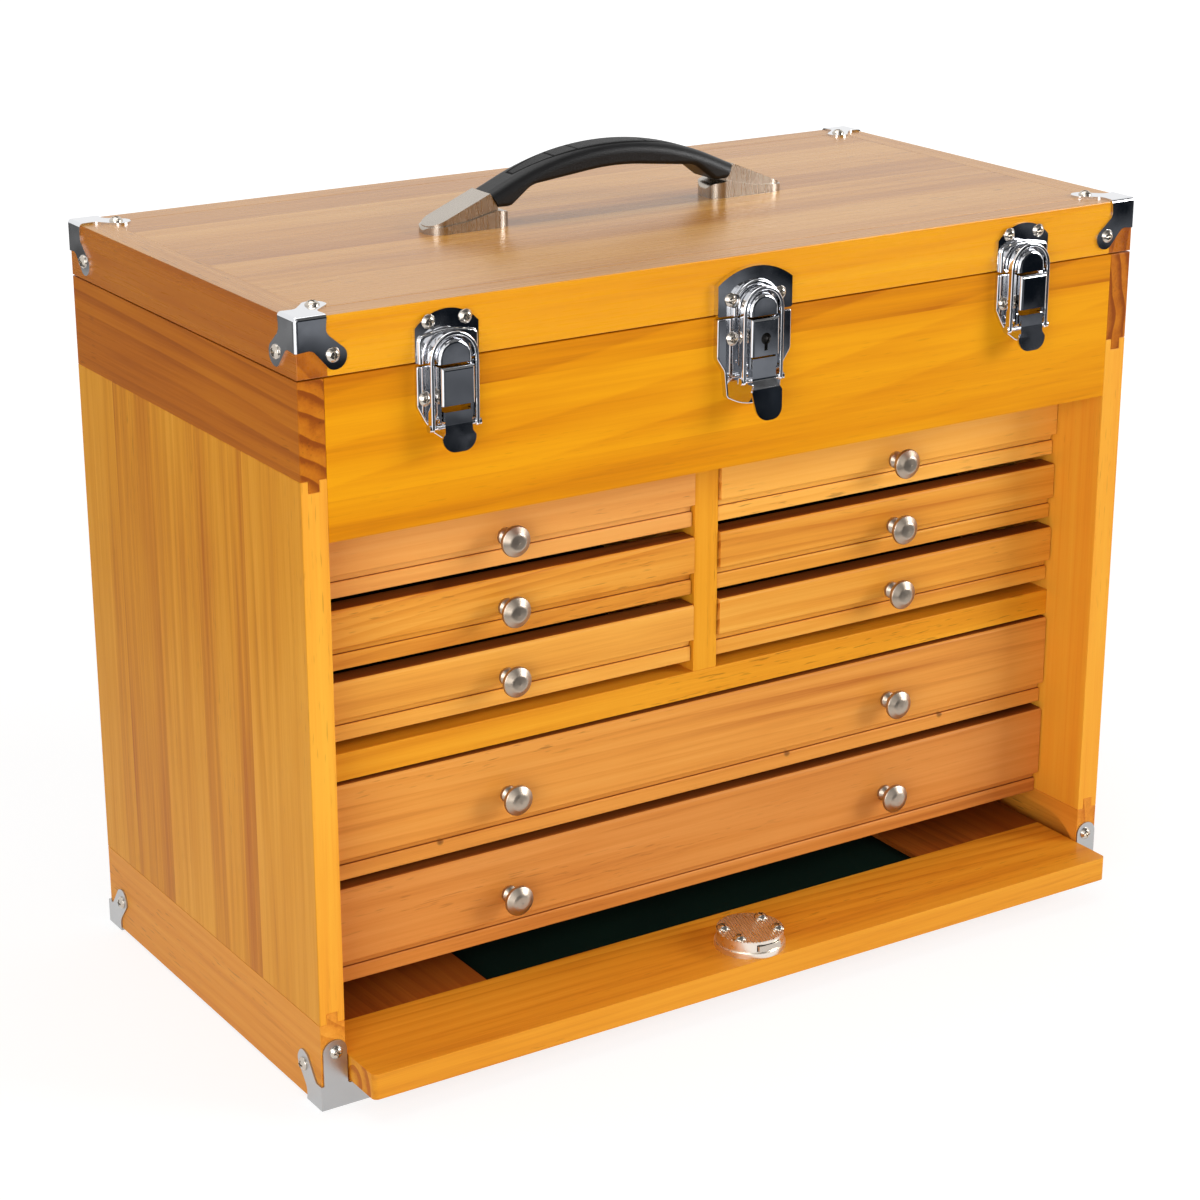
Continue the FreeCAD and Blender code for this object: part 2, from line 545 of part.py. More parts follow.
def flap():
    """Two rails and two stiles round a panel, with a cloth face in the recess and pins at its rear."""
    rail_back = "flap_rail - flap_out"
    rear_front = f"{FLAP_BACK} - flap_rail"
    panel_left = f"{FLAP_LEFT} + flap_left_stile"
    panel_right = f"{FLAP_RIGHT} - flap_right_stile"
    pin_y = f"{FLAP_BACK} - pin_inset"
    pin_z = "flap_z + pin_rise"
    front = board("flap_front", (FLAP_LEFT, "-flap_out", "flap_z"), (FLAP_RIGHT, rail_back, FLAP_TOP))
    corner = rounded("flap_front_rail", front, lambda edge: (
        "flap_corner_round" if abs(edge.Length - number("flap_thick")) < 0.01
        and edge.CenterOfMass.y < number("front_y - flap_out + 1") else None))
    rear = board("flap_rear", (FLAP_LEFT, rear_front, "flap_z"), (FLAP_RIGHT, FLAP_BACK, FLAP_TOP))
    left = board("flap_left", (FLAP_LEFT, rail_back, "flap_z"), (panel_left, rear_front, FLAP_TOP))
    right = board("flap_right", (panel_right, rail_back, "flap_z"), (FLAP_RIGHT, rear_front, FLAP_TOP))
    keep(group("flap_boards", corner, left, right, rear), "flap_frame")
    panel_top = "flap_z + flap_panel_thick"
    keep(board("flap_middle", (panel_left, rail_back, "flap_z"), (panel_right, rear_front, panel_top)),
         "flap_panel")
    keep(board("flap_cloth", (panel_left, rail_back, panel_top),
               (panel_right, rear_front, f"{panel_top} + baize_thick")), "flap_baize")
    pins = [rod(f"flap_pin_{end}", "X", "pin_radius", "pin_hold + pin_reach", (start, pin_y, pin_z))
            for end, start in (("left", f"{FLAP_LEFT} - pin_reach"), ("right", f"{FLAP_RIGHT} - pin_hold"))]
    keep(group("pins", *pins), "flap_pins")


def flap_lock(screw):
    """A round surface lock at the flap's front edge, with a flat bolt that slides forward."""
    lock_y = "-flap_out + lock_radius + lock_setback"
    centre = ("lock_x", lock_y, FLAP_TOP)
    low = rod("lock_flange_disc", "Z", "lock_radius", "lock_flange", centre)
    high = rod("lock_drum", "Z", "lock_radius - lock_step", "lock_height", centre)
    slot_z = f"{FLAP_TOP} + bolt_rise"
    half_slot = "bolt_width / 2 + bolt_play"
    slot = board("lock_slot", (f"lock_x - ({half_slot})", "-flap_out - 5", f"{slot_z} - bolt_play"),
                 (f"lock_x + {half_slot}", f"{lock_y} + bolt_length - lock_radius + 8",
                  f"{slot_z} + bolt_thick + bolt_play"))
    corners = [(f"lock_x + {a} * lock_screw_x", f"{lock_y} + {b} * lock_screw_y")
               for a in (-1, 1) for b in (-1, 1)]
    holes = [rod(f"lock_hole_{i}", "Z", "screw_hole", "lock_height + 2", (x, y, f"{FLAP_TOP} - 1"))
             for i, (x, y) in enumerate(corners, start=1)]
    keep(cut("lock_body", joined("lock_stack", low, high), slot, *holes), "flap_lock_case")
    tip_y = f"{lock_y} - lock_radius + 0.6"
    keep(board("lock_bolt", ("lock_x - bolt_width / 2", tip_y, slot_z),
               ("lock_x + bolt_width / 2", f"{tip_y} + bolt_length", f"{slot_z} + bolt_thick")),
         "flap_lock_bolt")
    places = [((x, y, f"{FLAP_TOP} + lock_height"), TURNS["Z"]) for x, y in corners]
    keep(copies("lock_screws", screw, places), "flap_lock_screws")


# Lid

LID_Z = "case_top_z + lid_gap"
LID_TOP = "case_top_z + lid_gap + lid_height"


def lid():
    """Four rails with a glued-up panel let in flush between them."""
    in_left = "-case_width / 2 + lid_rail_thick"
    in_right = "case_width / 2 - lid_rail_thick"
    left = board("lid_left_rail", ("-case_width / 2", 0, LID_Z), (in_left, "case_depth", LID_TOP))
    right = board("lid_right_rail", (in_right, 0, LID_Z), ("case_width / 2", "case_depth", LID_TOP))
    front = board("lid_front_rail", (in_left, 0, LID_Z), (in_right, "lid_rail_thick", LID_TOP))
    back = board("lid_back_rail", (in_left, "case_depth - lid_rail_thick", LID_Z),
                 (in_right, "case_depth", LID_TOP))
    keep(group("rails_of_lid", left, right, front, back), "lid_rails")
    panel = board("lid_board", (in_left, "lid_rail_thick", f"{LID_TOP} - lid_panel_thick"),
                  (in_right, "case_depth - lid_rail_thick", LID_TOP))
    holes = [rod(f"lid_hole_{i}", "Z", "handle_screw_radius + 0.2", "lid_panel_thick + 2",
                 (f"handle_x + {sign} * handle_screw_x", "handle_y", f"{LID_TOP} - lid_panel_thick - 1"))
             for i, sign in enumerate((-1, 1), start=1)]
    keep(cut("lid_top", panel, *holes), "lid_panel")


def corner_leaf(name, role, at, turn):
    """One face of a lid corner cap: two bent edges and a round lobe with a screw hole."""
    a, b, c, d = turn

    def spot(along, across):
        return (f"{a} * {along} + {b} * {across}", f"{c} * {along} + {d} * {across}")

    lobe_out = "(cap_screw + cap_lobe)"
    corners = [
        spot(0, 0),
        spot("cap_edge", 0),
        spot("(cap_edge - 0.8)", 8) + (5,),
        spot(lobe_out, "cap_arm") + (5,),
        spot(f"({lobe_out} - 0.6)", f"({lobe_out} - 0.6)") + (6.2,),
        spot("cap_arm", lobe_out) + (5,),
        spot(8, "(cap_edge - 0.8)") + (5,),
        spot(0, "cap_edge"),
    ]
    return plate(name, role, corners, "sheet", at)


def corner_caps():
    """Bent sheet caps over the lid's four top corners, each with three screwed lobes."""
    corner = ("-case_width / 2", 0, LID_TOP)
    front = corner_leaf("cap_front_leaf", "XZ_Plane", corner, (1, 0, 0, -1))
    side = corner_leaf("cap_side_leaf", "YZ_Plane", ("-case_width / 2 - sheet", 0, LID_TOP), (1, 0, 0, -1))
    top = corner_leaf("cap_top_leaf", "XY_Plane", corner, (1, 0, 0, 1))
    edge_x = board("cap_edge_x", ("-case_width / 2 - sheet", "-sheet", LID_TOP),
                   ("-case_width / 2 + cap_edge", 0, f"{LID_TOP} + sheet"))
    edge_y = board("cap_edge_y", ("-case_width / 2 - sheet", "-sheet", LID_TOP),
                   ("-case_width / 2", "cap_edge", f"{LID_TOP} + sheet"))
    edge_z = board("cap_edge_z", ("-case_width / 2 - sheet", "-sheet", f"{LID_TOP} - cap_edge"),
                   ("-case_width / 2", 0, f"{LID_TOP} + sheet"))
    shell = joined("cap_shell", front, side, top, edge_x, edge_y, edge_z)
    inward = "-case_width / 2 + cap_screw"
    down = f"{LID_TOP} - cap_screw"
    holes = [
        rod("cap_hole_front", "Y", "screw_hole", 6, (inward, -3, down)),
        rod("cap_hole_side", "X", "screw_hole", 6, ("-case_width / 2 - 3", "cap_screw", down)),
        rod("cap_hole_top", "Z", "screw_hole", 6, (inward, "cap_screw", f"{LID_TOP} - 3")),
    ]
    cap = cut("cap_front_left", shell, *holes)
    soft = rounded("cap_front_left_soft", cap, lambda edge: "cap_bend" if is_outer_bend(edge) else None)
    front_right = mirrored("cap_front_right", soft, FreeCAD.Vector(1, 0, 0))
    back_left = mirrored("cap_back_left", soft, FreeCAD.Vector(0, 1, 0))
    back_right = mirrored("cap_back_right", front_right, FreeCAD.Vector(0, 1, 0))
    keep(group("caps", soft, front_right, back_left, back_right), "lid_corner_caps")


def is_outer_bend(edge):
    """Whether an edge is one of the three outer bends of a corner cap."""
    middle = edge.CenterOfMass
    x_out = abs(middle.x - number("-case_width / 2 - sheet")) < 0.01
    y_out = abs(middle.y - number("front_y - sheet")) < 0.01
    z_out = abs(middle.z - number(f"{LID_TOP} + sheet")) < 0.01
    return x_out + y_out + z_out == 2 and edge.Length > 10


def base_brackets():
    """Bent sheet brackets that wrap the case's four bottom corners and carry it."""
    corner = ("-case_width / 2", 0, 0)
    front = plate("bracket_front", "XZ_Plane", [
        (0, 0),
        ("bracket_leg", 0, 2),
        ("bracket_leg", "bracket_leg_z", 4),
        ("bracket_tab_width", "bracket_leg_z", 1.5),
        ("bracket_tab_width", "bracket_tab_z", 6.4),
        (0.8, "bracket_tab_z", 6.4),
        (0.8, "bracket_bend_z"),
        (0, "bracket_bend_z"),
    ], "sheet", corner)
    side = plate("bracket_side", "YZ_Plane", [
        (0, 0),
        (15.5, 0),
        (14.4, 6, 8),
        (25.8, 19.6, 5),
        (20.4, 27.6, 5),
        (13.8, 25.2, 4),
        (5, "bracket_bend_z", 2),
        (0, "bracket_bend_z"),
    ], "sheet", ("-case_width / 2 - sheet", 0, 0))
    edge = board("bracket_edge", ("-case_width / 2 - sheet", "-sheet", 0),
                 ("-case_width / 2", 0, "bracket_bend_z"))
    foot = board("bracket_foot", ("-case_width / 2", 0, 0),
                 ("-case_width / 2 + bracket_leg - 2", 15.5, "base_lift"))
    holes = [
        rod("bracket_hole_front", "Y", "screw_hole", 6,
            ("-case_width / 2 + bracket_screw_x", -3, "bracket_screw_z")),
        rod("bracket_hole_side", "X", "screw_hole", 6,
            ("-case_width / 2 - 3", "bracket_side_screw_y", "bracket_side_screw_z")),
    ]
    whole = cut("bracket_front_left", joined("bracket_shell", front, side, edge, foot), *holes)
    front_right = mirrored("bracket_front_right", whole, FreeCAD.Vector(1, 0, 0))
    back_left = mirrored("bracket_back_left", whole, FreeCAD.Vector(0, 1, 0))
    back_right = mirrored("bracket_back_right", front_right, FreeCAD.Vector(0, 1, 0))
    keep(group("brackets", whole, front_right, back_left, back_right), "base_brackets")


# Hinges, on the outside of the back

AXIS_Y = "case_depth + knuckle_out"
AXIS_Z = "case_top_z + lid_gap / 2"


def hinge_leaf(name, centre, up, spans):
    """A screwed leaf with the knuckles that it carries. Up is 1 for the lid's leaf, -1 for the case's."""
    near = f"{AXIS_Z} + {up} * leaf_clear"
    far = f"{AXIS_Z} + {up} * (leaf_clear + leaf_height)"
    low, high = (near, far) if up > 0 else (far, near)
    left = f"{centre} - hinge_length / 2"
    leaf = board(f"{name}_leaf", (left, "case_depth", low),
                 (f"{left} + hinge_length", "case_depth + leaf_thick", high))
    pieces = [leaf]
    for i, (start, end) in enumerate(spans, start=1):
        tab_low, tab_high = (AXIS_Z, near) if up > 0 else (near, AXIS_Z)
        pieces.append(board(f"{name}_tab_{i}", (f"{left} + {start}", "case_depth + 0.45", tab_low),
                            (f"{left} + {end}", "case_depth + leaf_thick", tab_high)))
        pieces.append(rod(f"{name}_knuckle_{i}", "X", "knuckle_radius", f"{end} - ({start})",
                          (f"{left} + {start}", AXIS_Y, AXIS_Z)))
    play = "0" if up < 0 else "pin_play"
    bore = rod(f"{name}_bore", "X", f"hinge_pin + {play}", "hinge_length + 2",
               (f"{left} - 1", AXIS_Y, AXIS_Z))
    holes = [rod(f"{name}_hole_{i}", "Y", "screw_hole", 4, (x, "case_depth - 1", f"{AXIS_Z} + {up} * {z}"))
             for i, (x, z) in enumerate(leaf_screws(centre), start=1)]
    return cut(name, joined(f"{name}_blank", *pieces), bore, *holes)


def leaf_screws(centre):
    """Where a leaf's screws are: across, and away from the axis."""
    return [(f"{centre} - 17", 9.5), (f"{centre}", 14.5), (f"{centre} + 17", 9.5)]


def hinges():
    outer = [("0", "knuckle_split"), ("hinge_length - knuckle_split", "hinge_length")]
    middle = [("knuckle_split + knuckle_gap", "hinge_length - knuckle_split - knuckle_gap")]
    case_side = []
    lid_side = []
    for end, centre in (("left", "(-hinge_offset)"), ("right", "hinge_offset")):
        case_side.append(hinge_leaf(f"{end}_case_hinge", centre, -1, outer))
        lid_side.append(hinge_leaf(f"{end}_lid_hinge", centre, 1, middle))
        case_side.append(rod(f"{end}_hinge_pin", "X", "hinge_pin", "hinge_length",
                             (f"{centre} - hinge_length / 2", AXIS_Y, AXIS_Z)))
    keep(group("case_hinges", *case_side), "case_hinge_leaves")
    keep(group("lid_hinges", *lid_side), "lid_hinge_leaves")


# Draw latches. Each is built about its own middle, k is the kind's prefix in the sheet and x its
# place across. The base, cover and axle stay on the case, the keeper is on the lid.

LATCHES = (("left", "side", "(-latch_offset)"), ("centre", "centre", "0"), ("right", "side", "latch_offset"))

KEEPER_Z = f"{LID_Z} - 0.3"
PAN_TOP = f"{LID_Z} - 0.3 - latch_parting"


def crown(half, shoulder, top):
    """The corner whose rounding makes a top edge nearly one arc between two shoulders."""
    rise = f"({top} - {shoulder})"
    apex = f"{shoulder} + 2 * {rise} * {half} ^ 2 / ({half} ^ 2 - {rise} ^ 2)"
    return 0, apex, f"0.98 * ({half} ^ 2 + {rise} ^ 2) / (2 * {rise})"


def boss(name, x, deep, corners, round_by):
    """A raised form on a keeper, with its front edge rounded all round but along its foot."""
    blank = plate(f"{name}_blank", "XZ_Plane", corners, deep, (x, 0, 0))
    front = number(f"front_y - {deep}")
    return rounded(name, blank, lambda edge: (
        round_by if abs(edge.CenterOfMass.y - front) < 0.01
        and edge.CenterOfMass.z > number(KEEPER_Z) + 0.01 else None))


def latch_keeper(name, k, x):
    """A plate with an arched top, a raised swelling and the hook that the bail lies round."""
    half = f"{k}_keeper_half"
    shoulder = f"{k}_keeper_shoulder_z"
    face = plate(f"{name}_keeper_plate", "XZ_Plane", [
        (f"-{half}", KEEPER_Z, 1),
        (half, KEEPER_Z, 1),
        (half, shoulder),
        crown(half, shoulder, f"{k}_keeper_top_z"),
        (f"-{half}", shoulder),
    ], f"{k}_keeper_deep", (x, 0, 0))
    wide = f"{k}_swell_half"
    swell = boss(f"{name}_swell", x, f"{k}_swell_deep", [
        (f"-{wide}", KEEPER_Z),
        (wide, KEEPER_Z),
        (wide, f"{k}_swell_shoulder_z", 3),
        (0, f"{k}_swell_apex_z", f"{k}_swell_arch"),
        (f"-{wide}", f"{k}_swell_shoulder_z", 3),
    ], "boss_round")
    narrow = f"{k}_hook_half"
    hook = boss(f"{name}_hook", x, f"{k}_hook_deep", [
        (f"-{narrow}", KEEPER_Z),
        (narrow, KEEPER_Z),
        (narrow, f"{k}_hook_top_z", f"{narrow} - 0.1"),
        (f"-{narrow}", f"{k}_hook_top_z", f"{narrow} - 0.1"),
    ], "hook_round")
    tools = []
    for i, s in enumerate((-1, 1), start=1):
        spot_x = f"{x} + {s} * {k}_keeper_screw_x"
        tools.append(rod(f"{name}_keeper_hole_{i}", "Y", "screw_hole", f"{k}_keeper_deep + 4",
                         (spot_x, f"-{k}_keeper_deep - 1", f"{k}_keeper_screw_z")))
        if k == "centre":
            tools.append(rod(f"{name}_keeper_seat_{i}", "-Y", "centre_seat", 6,
                             (spot_x, f"-{k}_keeper_deep", f"{k}_keeper_screw_z")))
    return cut(f"{name}_keeper", joined(f"{name}_keeper_blank", face, swell, hook), *tools)


def both_sides(corners):
    """An outline from its right half, given from top to bottom with its last corner in the middle."""
    others = [(f"-{c[0]}",) + c[1:] for c in reversed(corners[:-1])]
    return corners + others


def latch_pan(name, k, x):
    """The stamped pan of a base, wide above and drawn in towards its rounded foot."""
    pan = plate(f"{name}_pan", "XZ_Plane", both_sides([
        (f"{k}_pan_half", PAN_TOP, 1),
        (f"{k}_pan_half", f"{k}_pan_shoulder_z", 4),
        (f"{k}_pan_neck_half", f"{k}_pan_neck_z", 5),
        (f"{k}_pan_foot_half", f"{k}_pan_foot_z", 3),
        (0, f"{k}_pan_end_z", f"{k}_pan_end_round"),
    ]), f"{k}_pan_deep", (x, 0, 0))
    pan_front = number(f"front_y - {k}_pan_deep")
    return rounded(f"{name}_soft_pan", pan, lambda edge: (
        "pan_round" if abs(edge.CenterOfMass.y - pan_front) < 0.01 else None))


def latch_cover(name, k, x):
    """The housing on a pan: two walls that hold the lever's axle and a front that ends above it."""
    out = f"-{k}_cover_deep"
    half = f"{k}_cover_half"
    block = board(f"{name}_cover_block", (f"{x} - {half}", out, f"{k}_pivot_z - cover_foot"),
                  (f"{x} + {half}", f"-{k}_pan_deep + 0.1", PAN_TOP))
    front = number(f"front_y - {k}_cover_deep")
    foot = number(f"{k}_pivot_z - cover_foot")
    soft = rounded(f"{name}_cover_soft", block, lambda edge: (
        "cover_round" if abs(edge.CenterOfMass.y - front) < 0.01
        and edge.CenterOfMass.z > foot + 0.01 else None))
    inner = f"{half} - latch_sheet"
    hollow = board(f"{name}_cover_hollow", (f"{x} - ({inner})", f"{out} + latch_sheet", f"{k}_pivot_z - 10"),
                   (f"{x} + {inner}", f"-{k}_pan_deep", f"{PAN_TOP} - latch_sheet"))
    notch = board(f"{name}_cover_notch", (f"{x} - {half} - 1", f"{out} - 1", f"{k}_pivot_z - 10"),
                  (f"{x} + {half} + 1", f"-{k}_pivot_deep - ear_radius", f"{k}_cover_z"))
    axle_hole = rod(f"{name}_axle_hole", "X", "axle_radius", f"2 * {half} + 2",
                    (f"{x} - {half} - 1", f"-{k}_pivot_deep", f"{k}_pivot_z"))
    return cut(f"{name}_cover", soft, hollow, notch, axle_hole)


def latch_base(name, k, x):
    """The pan with its cover, its screw holes and a window behind the lever's top, and the axle."""
    half = f"{k}_cover_half"
    inner = f"{half} - latch_sheet"
    tools = [rod(f"{name}_pan_hole_{i}", "Y", "screw_hole", f"{k}_pan_deep + 4",
                 (f"{x} + {s} * {k}_pan_screw_x", f"-{k}_pan_deep - 1", f"{k}_pan_screw_z"))
             for i, s in enumerate((-1, 1), start=1)]
    tools.append(board(f"{name}_window", (f"{x} - ({inner})", f"-{k}_pan_deep - 0.2", f"{k}_pivot_z - 4"),
                       (f"{x} + {inner}", 1, f"{k}_pivot_z + 8")))
    if k == "centre":
        out = "-centre_cover_deep"
        tools.append(rod("keyhole_round", "Y", "keyhole_radius", 4, (x, f"{out} - 1", "keyhole_z")))
        tools.append(board("keyhole_drop",
                           (f"{x} - keyhole_slot / 2", f"{out} - 1", "keyhole_z - keyhole_drop"),
                           (f"{x} + keyhole_slot / 2", f"{out} + 3", "keyhole_z")))
    blank = joined(f"{name}_base_blank", latch_pan(name, k, x), latch_cover(name, k, x))
    whole = cut(f"{name}_base", blank, *tools)
    axle = rod(f"{name}_axle", "X", "axle_radius", f"2 * {half} + 0.8",
               (f"{x} - {half} - 0.4", f"-{k}_pivot_deep", f"{k}_pivot_z"))
    return whole, axle


def latch_lever(name, k, x):
    """Two ears on the axle, joined by a front strip that steps out into a finger tab."""
    ear_out = f"({k}_cover_half - latch_sheet - latch_gap)"
    strip_top = f"{k}_pivot_z + strip_rise"
    front = f"-{k}_tab_front"
    step = f"-{k}_tab_step_deep"
    # The curve of the strip seen from the side, down its front face, then back up its rear face
    side = plate(f"{name}_strip_side", "YZ_Plane", [
        (front, strip_top),
        (front, f"{k}_tab_bend_z", 2.5),
        (step, f"{k}_tab_step_z", 2.5),
        (f"-{k}_tab_deep", f"{k}_tab_z - 0.5"),
        (f"-{k}_tab_deep + latch_sheet", f"{k}_tab_z - 0.5"),
        (f"{step} + latch_sheet", f"{k}_tab_step_z - 0.5", 2),
        (f"{front} + latch_sheet", f"{k}_tab_bend_z - 0.5", 2),
        (f"{front} + latch_sheet", strip_top),
    ], f"2 * {k}_tab_half + 4", (f"{x} - {k}_tab_half - 2", 0, 0))
    face = plate(f"{name}_strip_face", "XZ_Plane", [
        (f"-{ear_out}", strip_top),
        (ear_out, strip_top),
        (f"{k}_tab_waist", f"{k}_tab_waist_z", 1.5),
        (f"{k}_tab_half", f"{k}_tab_corner_z", 1),
        (f"{k}_tab_foot", f"{k}_tab_z", f"{k}_tab_round"),
        (f"-{k}_tab_foot", f"{k}_tab_z", f"{k}_tab_round"),
        (f"-{k}_tab_half", f"{k}_tab_corner_z", 1),
        (f"-{k}_tab_waist", f"{k}_tab_waist_z", 1.5),
    ], 24, (x, 0, 0))
    low_z = f"{k}_bail_pin_z - ear_radius + 0.4"
    pieces = [shared(f"{name}_strip", side, face)]
    for end, start in (("left", f"{x} - {ear_out}"), ("right", f"{x} + {ear_out} - ear_thick")):
        pieces.append(plate(f"{name}_{end}_ear", "YZ_Plane", [
            (front, strip_top),
            (front, low_z, 1),
            (f"-{k}_bail_pin_deep + ear_radius - 0.2", low_z, 2),
            (f"-{k}_pivot_deep + ear_radius - 0.2", strip_top, 2.4),
        ], "ear_thick", (start, 0, 0)))
    wide = f"2 * {k}_cover_half"
    axle_hole = rod(f"{name}_axle_bore", "X", "axle_radius + pin_play", wide,
                    (f"{x} - {k}_cover_half", f"-{k}_pivot_deep", f"{k}_pivot_z"))
    bail_hole = rod(f"{name}_bail_bore", "X", "axle_radius + pin_play", wide,
                    (f"{x} - {k}_cover_half", f"-{k}_bail_pin_deep", f"{k}_bail_pin_z"))
    keep(cut(f"{name}_lever", joined(f"{name}_lever_blank", *pieces), axle_hole, bail_hole),
         f"{name}_latch_lever")


def latch_bail(name, k, x):
    """A stamped loop that stands on edge, with a rivet at each end that turns in the lever's ear."""
    half = f"{k}_bail_half"
    top = f"{k}_bail_top_z"
    foot = f"{k}_bail_pin_z - bail_thick / 2"
    inner = f"({half} - bail_width)"
    place_at = (x, f"bail_thick - {k}_bail_deep", 0)
    hoop = plate(f"{name}_hoop", "XZ_Plane", [
        (f"-{half}", foot),
        (half, foot),
        (half, top, f"{half} - 0.1"),
        (f"-{half}", top, f"{half} - 0.1"),
    ], "bail_thick", place_at)
    hole = plate(f"{name}_hoop_hole", "XZ_Plane", [
        (f"-{inner}", f"{foot} - 1"),
        (inner, f"{foot} - 1"),
        (inner, f"{top} - bail_width", f"{inner} - 0.1"),
        (f"-{inner}", f"{top} - bail_width", f"{inner} - 0.1"),
    ], "bail_thick + 2", (x, f"bail_thick - {k}_bail_deep + 1", 0))
    end_round = "bail_thick / 2 - 0.05"
    side = plate(f"{name}_hoop_side", "YZ_Plane", [
        (f"-{k}_bail_deep", f"{top} + 1"),
        (f"-{k}_bail_deep", foot, end_round),
        (f"bail_thick - {k}_bail_deep", foot, end_round),
        (f"bail_thick - {k}_bail_deep", f"{top} + 1"),
    ], f"2 * {half} + 2", (f"{x} - {half} - 1", 0, 0))
    loop = shared(f"{name}_loop_blank", cut(f"{name}_hoop_open", hoop, hole), side)
    faces = [number(f"front_y - {k}_bail_deep"), number(f"front_y - {k}_bail_deep + bail_thick")]
    soft = rounded(f"{name}_loop_soft", loop, lambda edge: (
        "bail_round" if min(abs(edge.CenterOfMass.y - face) for face in faces) < 0.01 else None))
    rivet_at = (f"-{k}_bail_pin_deep", f"{k}_bail_pin_z")
    bore = rod(f"{name}_rivet_bore", "X", "axle_radius", f"2 * {half} + 2", (f"{x} - {half} - 1",) + rivet_at)
    reach = f"({half} - {k}_cover_half + latch_sheet + latch_gap + ear_thick + 0.4)"
    rivets = []
    for end, sign, axis in (("left", -1, "X"), ("right", 1, "-X")):
        start = f"{x} + {sign} * {half}"
        shank = rod(f"{name}_{end}_rivet_shank", axis, "axle_radius", reach, (start,) + rivet_at)
        head = rod(f"{name}_{end}_rivet_head", axis, "rivet_head", "rivet_out",
                   (f"{start} + {sign} * rivet_out",) + rivet_at)
        rivets.append(joined(f"{name}_{end}_rivet", shank, head))
    keep(group(f"{name}_bail", cut(f"{name}_loop", soft, bore), *rivets), f"{name}_latch_bail")


def latches():
    keepers = []
    bases = []
    for name, k, x in LATCHES:
        keepers.append(latch_keeper(name, k, x))
        bases.extend(latch_base(name, k, x))
        latch_lever(name, k, x)
        latch_bail(name, k, x)
    keep(group("keepers", *keepers), "latch_keepers")
    keep(group("bases", *bases), "latch_bases")


def lock_cam():
    """The small rotor behind the keyhole, with a tongue that turns across the cover."""
    back = "-centre_cover_deep + latch_sheet + cam_gap"
    front_y = f"{back} + cam_thick"
    disc = rod("cam_disc", "-Y", "cam_radius", "cam_thick", (0, front_y, "keyhole_z"))
    tongue = board("cam_tongue", ("-cam_width / 2", back, "keyhole_z - cam_reach"),
                   ("cam_width / 2", front_y, "keyhole_z"))
    keep(joined("cam", disc, tongue), "lock_cam")


# Handle

def handle_caps():
    """A die-cast wedge at each end of the grip: a flared foot, and a body with a slanted throat."""
    def plan(name, sign, inset):
        return plate(name, "XY_Plane", [
            (f"{sign} * (cap_heel_x + {inset})", f"-cap_half_width + {inset}", "cap_heel_round"),
            (f"{sign} * (cap_toe_x - {inset})", f"-cap_half_width + {inset}", f"cap_toe_round - {inset}"),
            (f"{sign} * (cap_toe_x - {inset})", f"cap_half_width - {inset}", f"cap_toe_round - {inset}"),
            (f"{sign} * (cap_heel_x + {inset})", f"cap_half_width - {inset}", "cap_heel_round"),
        ], 30, ("handle_x", "handle_y", LID_TOP))

    def side(name, corners):
        return plate(name, "XZ_Plane", corners, "2 * cap_half_width + 4",
                     ("handle_x", "handle_y", 0), both=True)

    def cap(name, sign):
        foot = shared(f"{name}_foot", plan(f"{name}_foot_plan", sign, 0), side(f"{name}_foot_side", [
            (f"{sign} * cap_heel_x", LID_TOP),
            (f"{sign} * cap_toe_x", LID_TOP),
            (f"{sign} * cap_toe_x", f"{LID_TOP} + cap_toe_rise", 2),
            (f"{sign} * cap_crease_x", f"{LID_TOP} + cap_crease_rise", 20),
            (f"{sign} * (cap_throat_x + 1)", f"{LID_TOP} + cap_crease_top"),
            (f"{sign} * cap_heel_x", f"{LID_TOP} + cap_heel_rise", 3.5),
        ]))
        body_plan = plan(f"{name}_body_plan", sign, "cap_flare")
        body = shared(f"{name}_body", body_plan, side(f"{name}_body_side", [
            (f"{sign} * cap_throat_x", f"{LID_TOP} + 1"),
            (f"{sign} * cap_toe_x", f"{LID_TOP} + 1"),
            (f"{sign} * cap_toe_x", f"{LID_TOP} + cap_toe_rise", 1),
            (f"{sign} * cap_crown_x", f"{LID_TOP} + cap_crown_rise"),
            (f"{sign} * cap_throat_x", f"{LID_TOP} + cap_throat_rise"),
        ]))
        hole = rod(f"{name}_hole", "Z", "handle_screw_radius", "handle_screw_hold + 1",
                   (f"handle_x + {sign} * handle_screw_x", "handle_y", f"{LID_TOP} - 1"))
        return cut(name, joined(f"{name}_blank", foot, body), hole)

    keep(group("handle_ends", cap("left_cap", -1), cap("right_cap", 1)), "handle_caps")


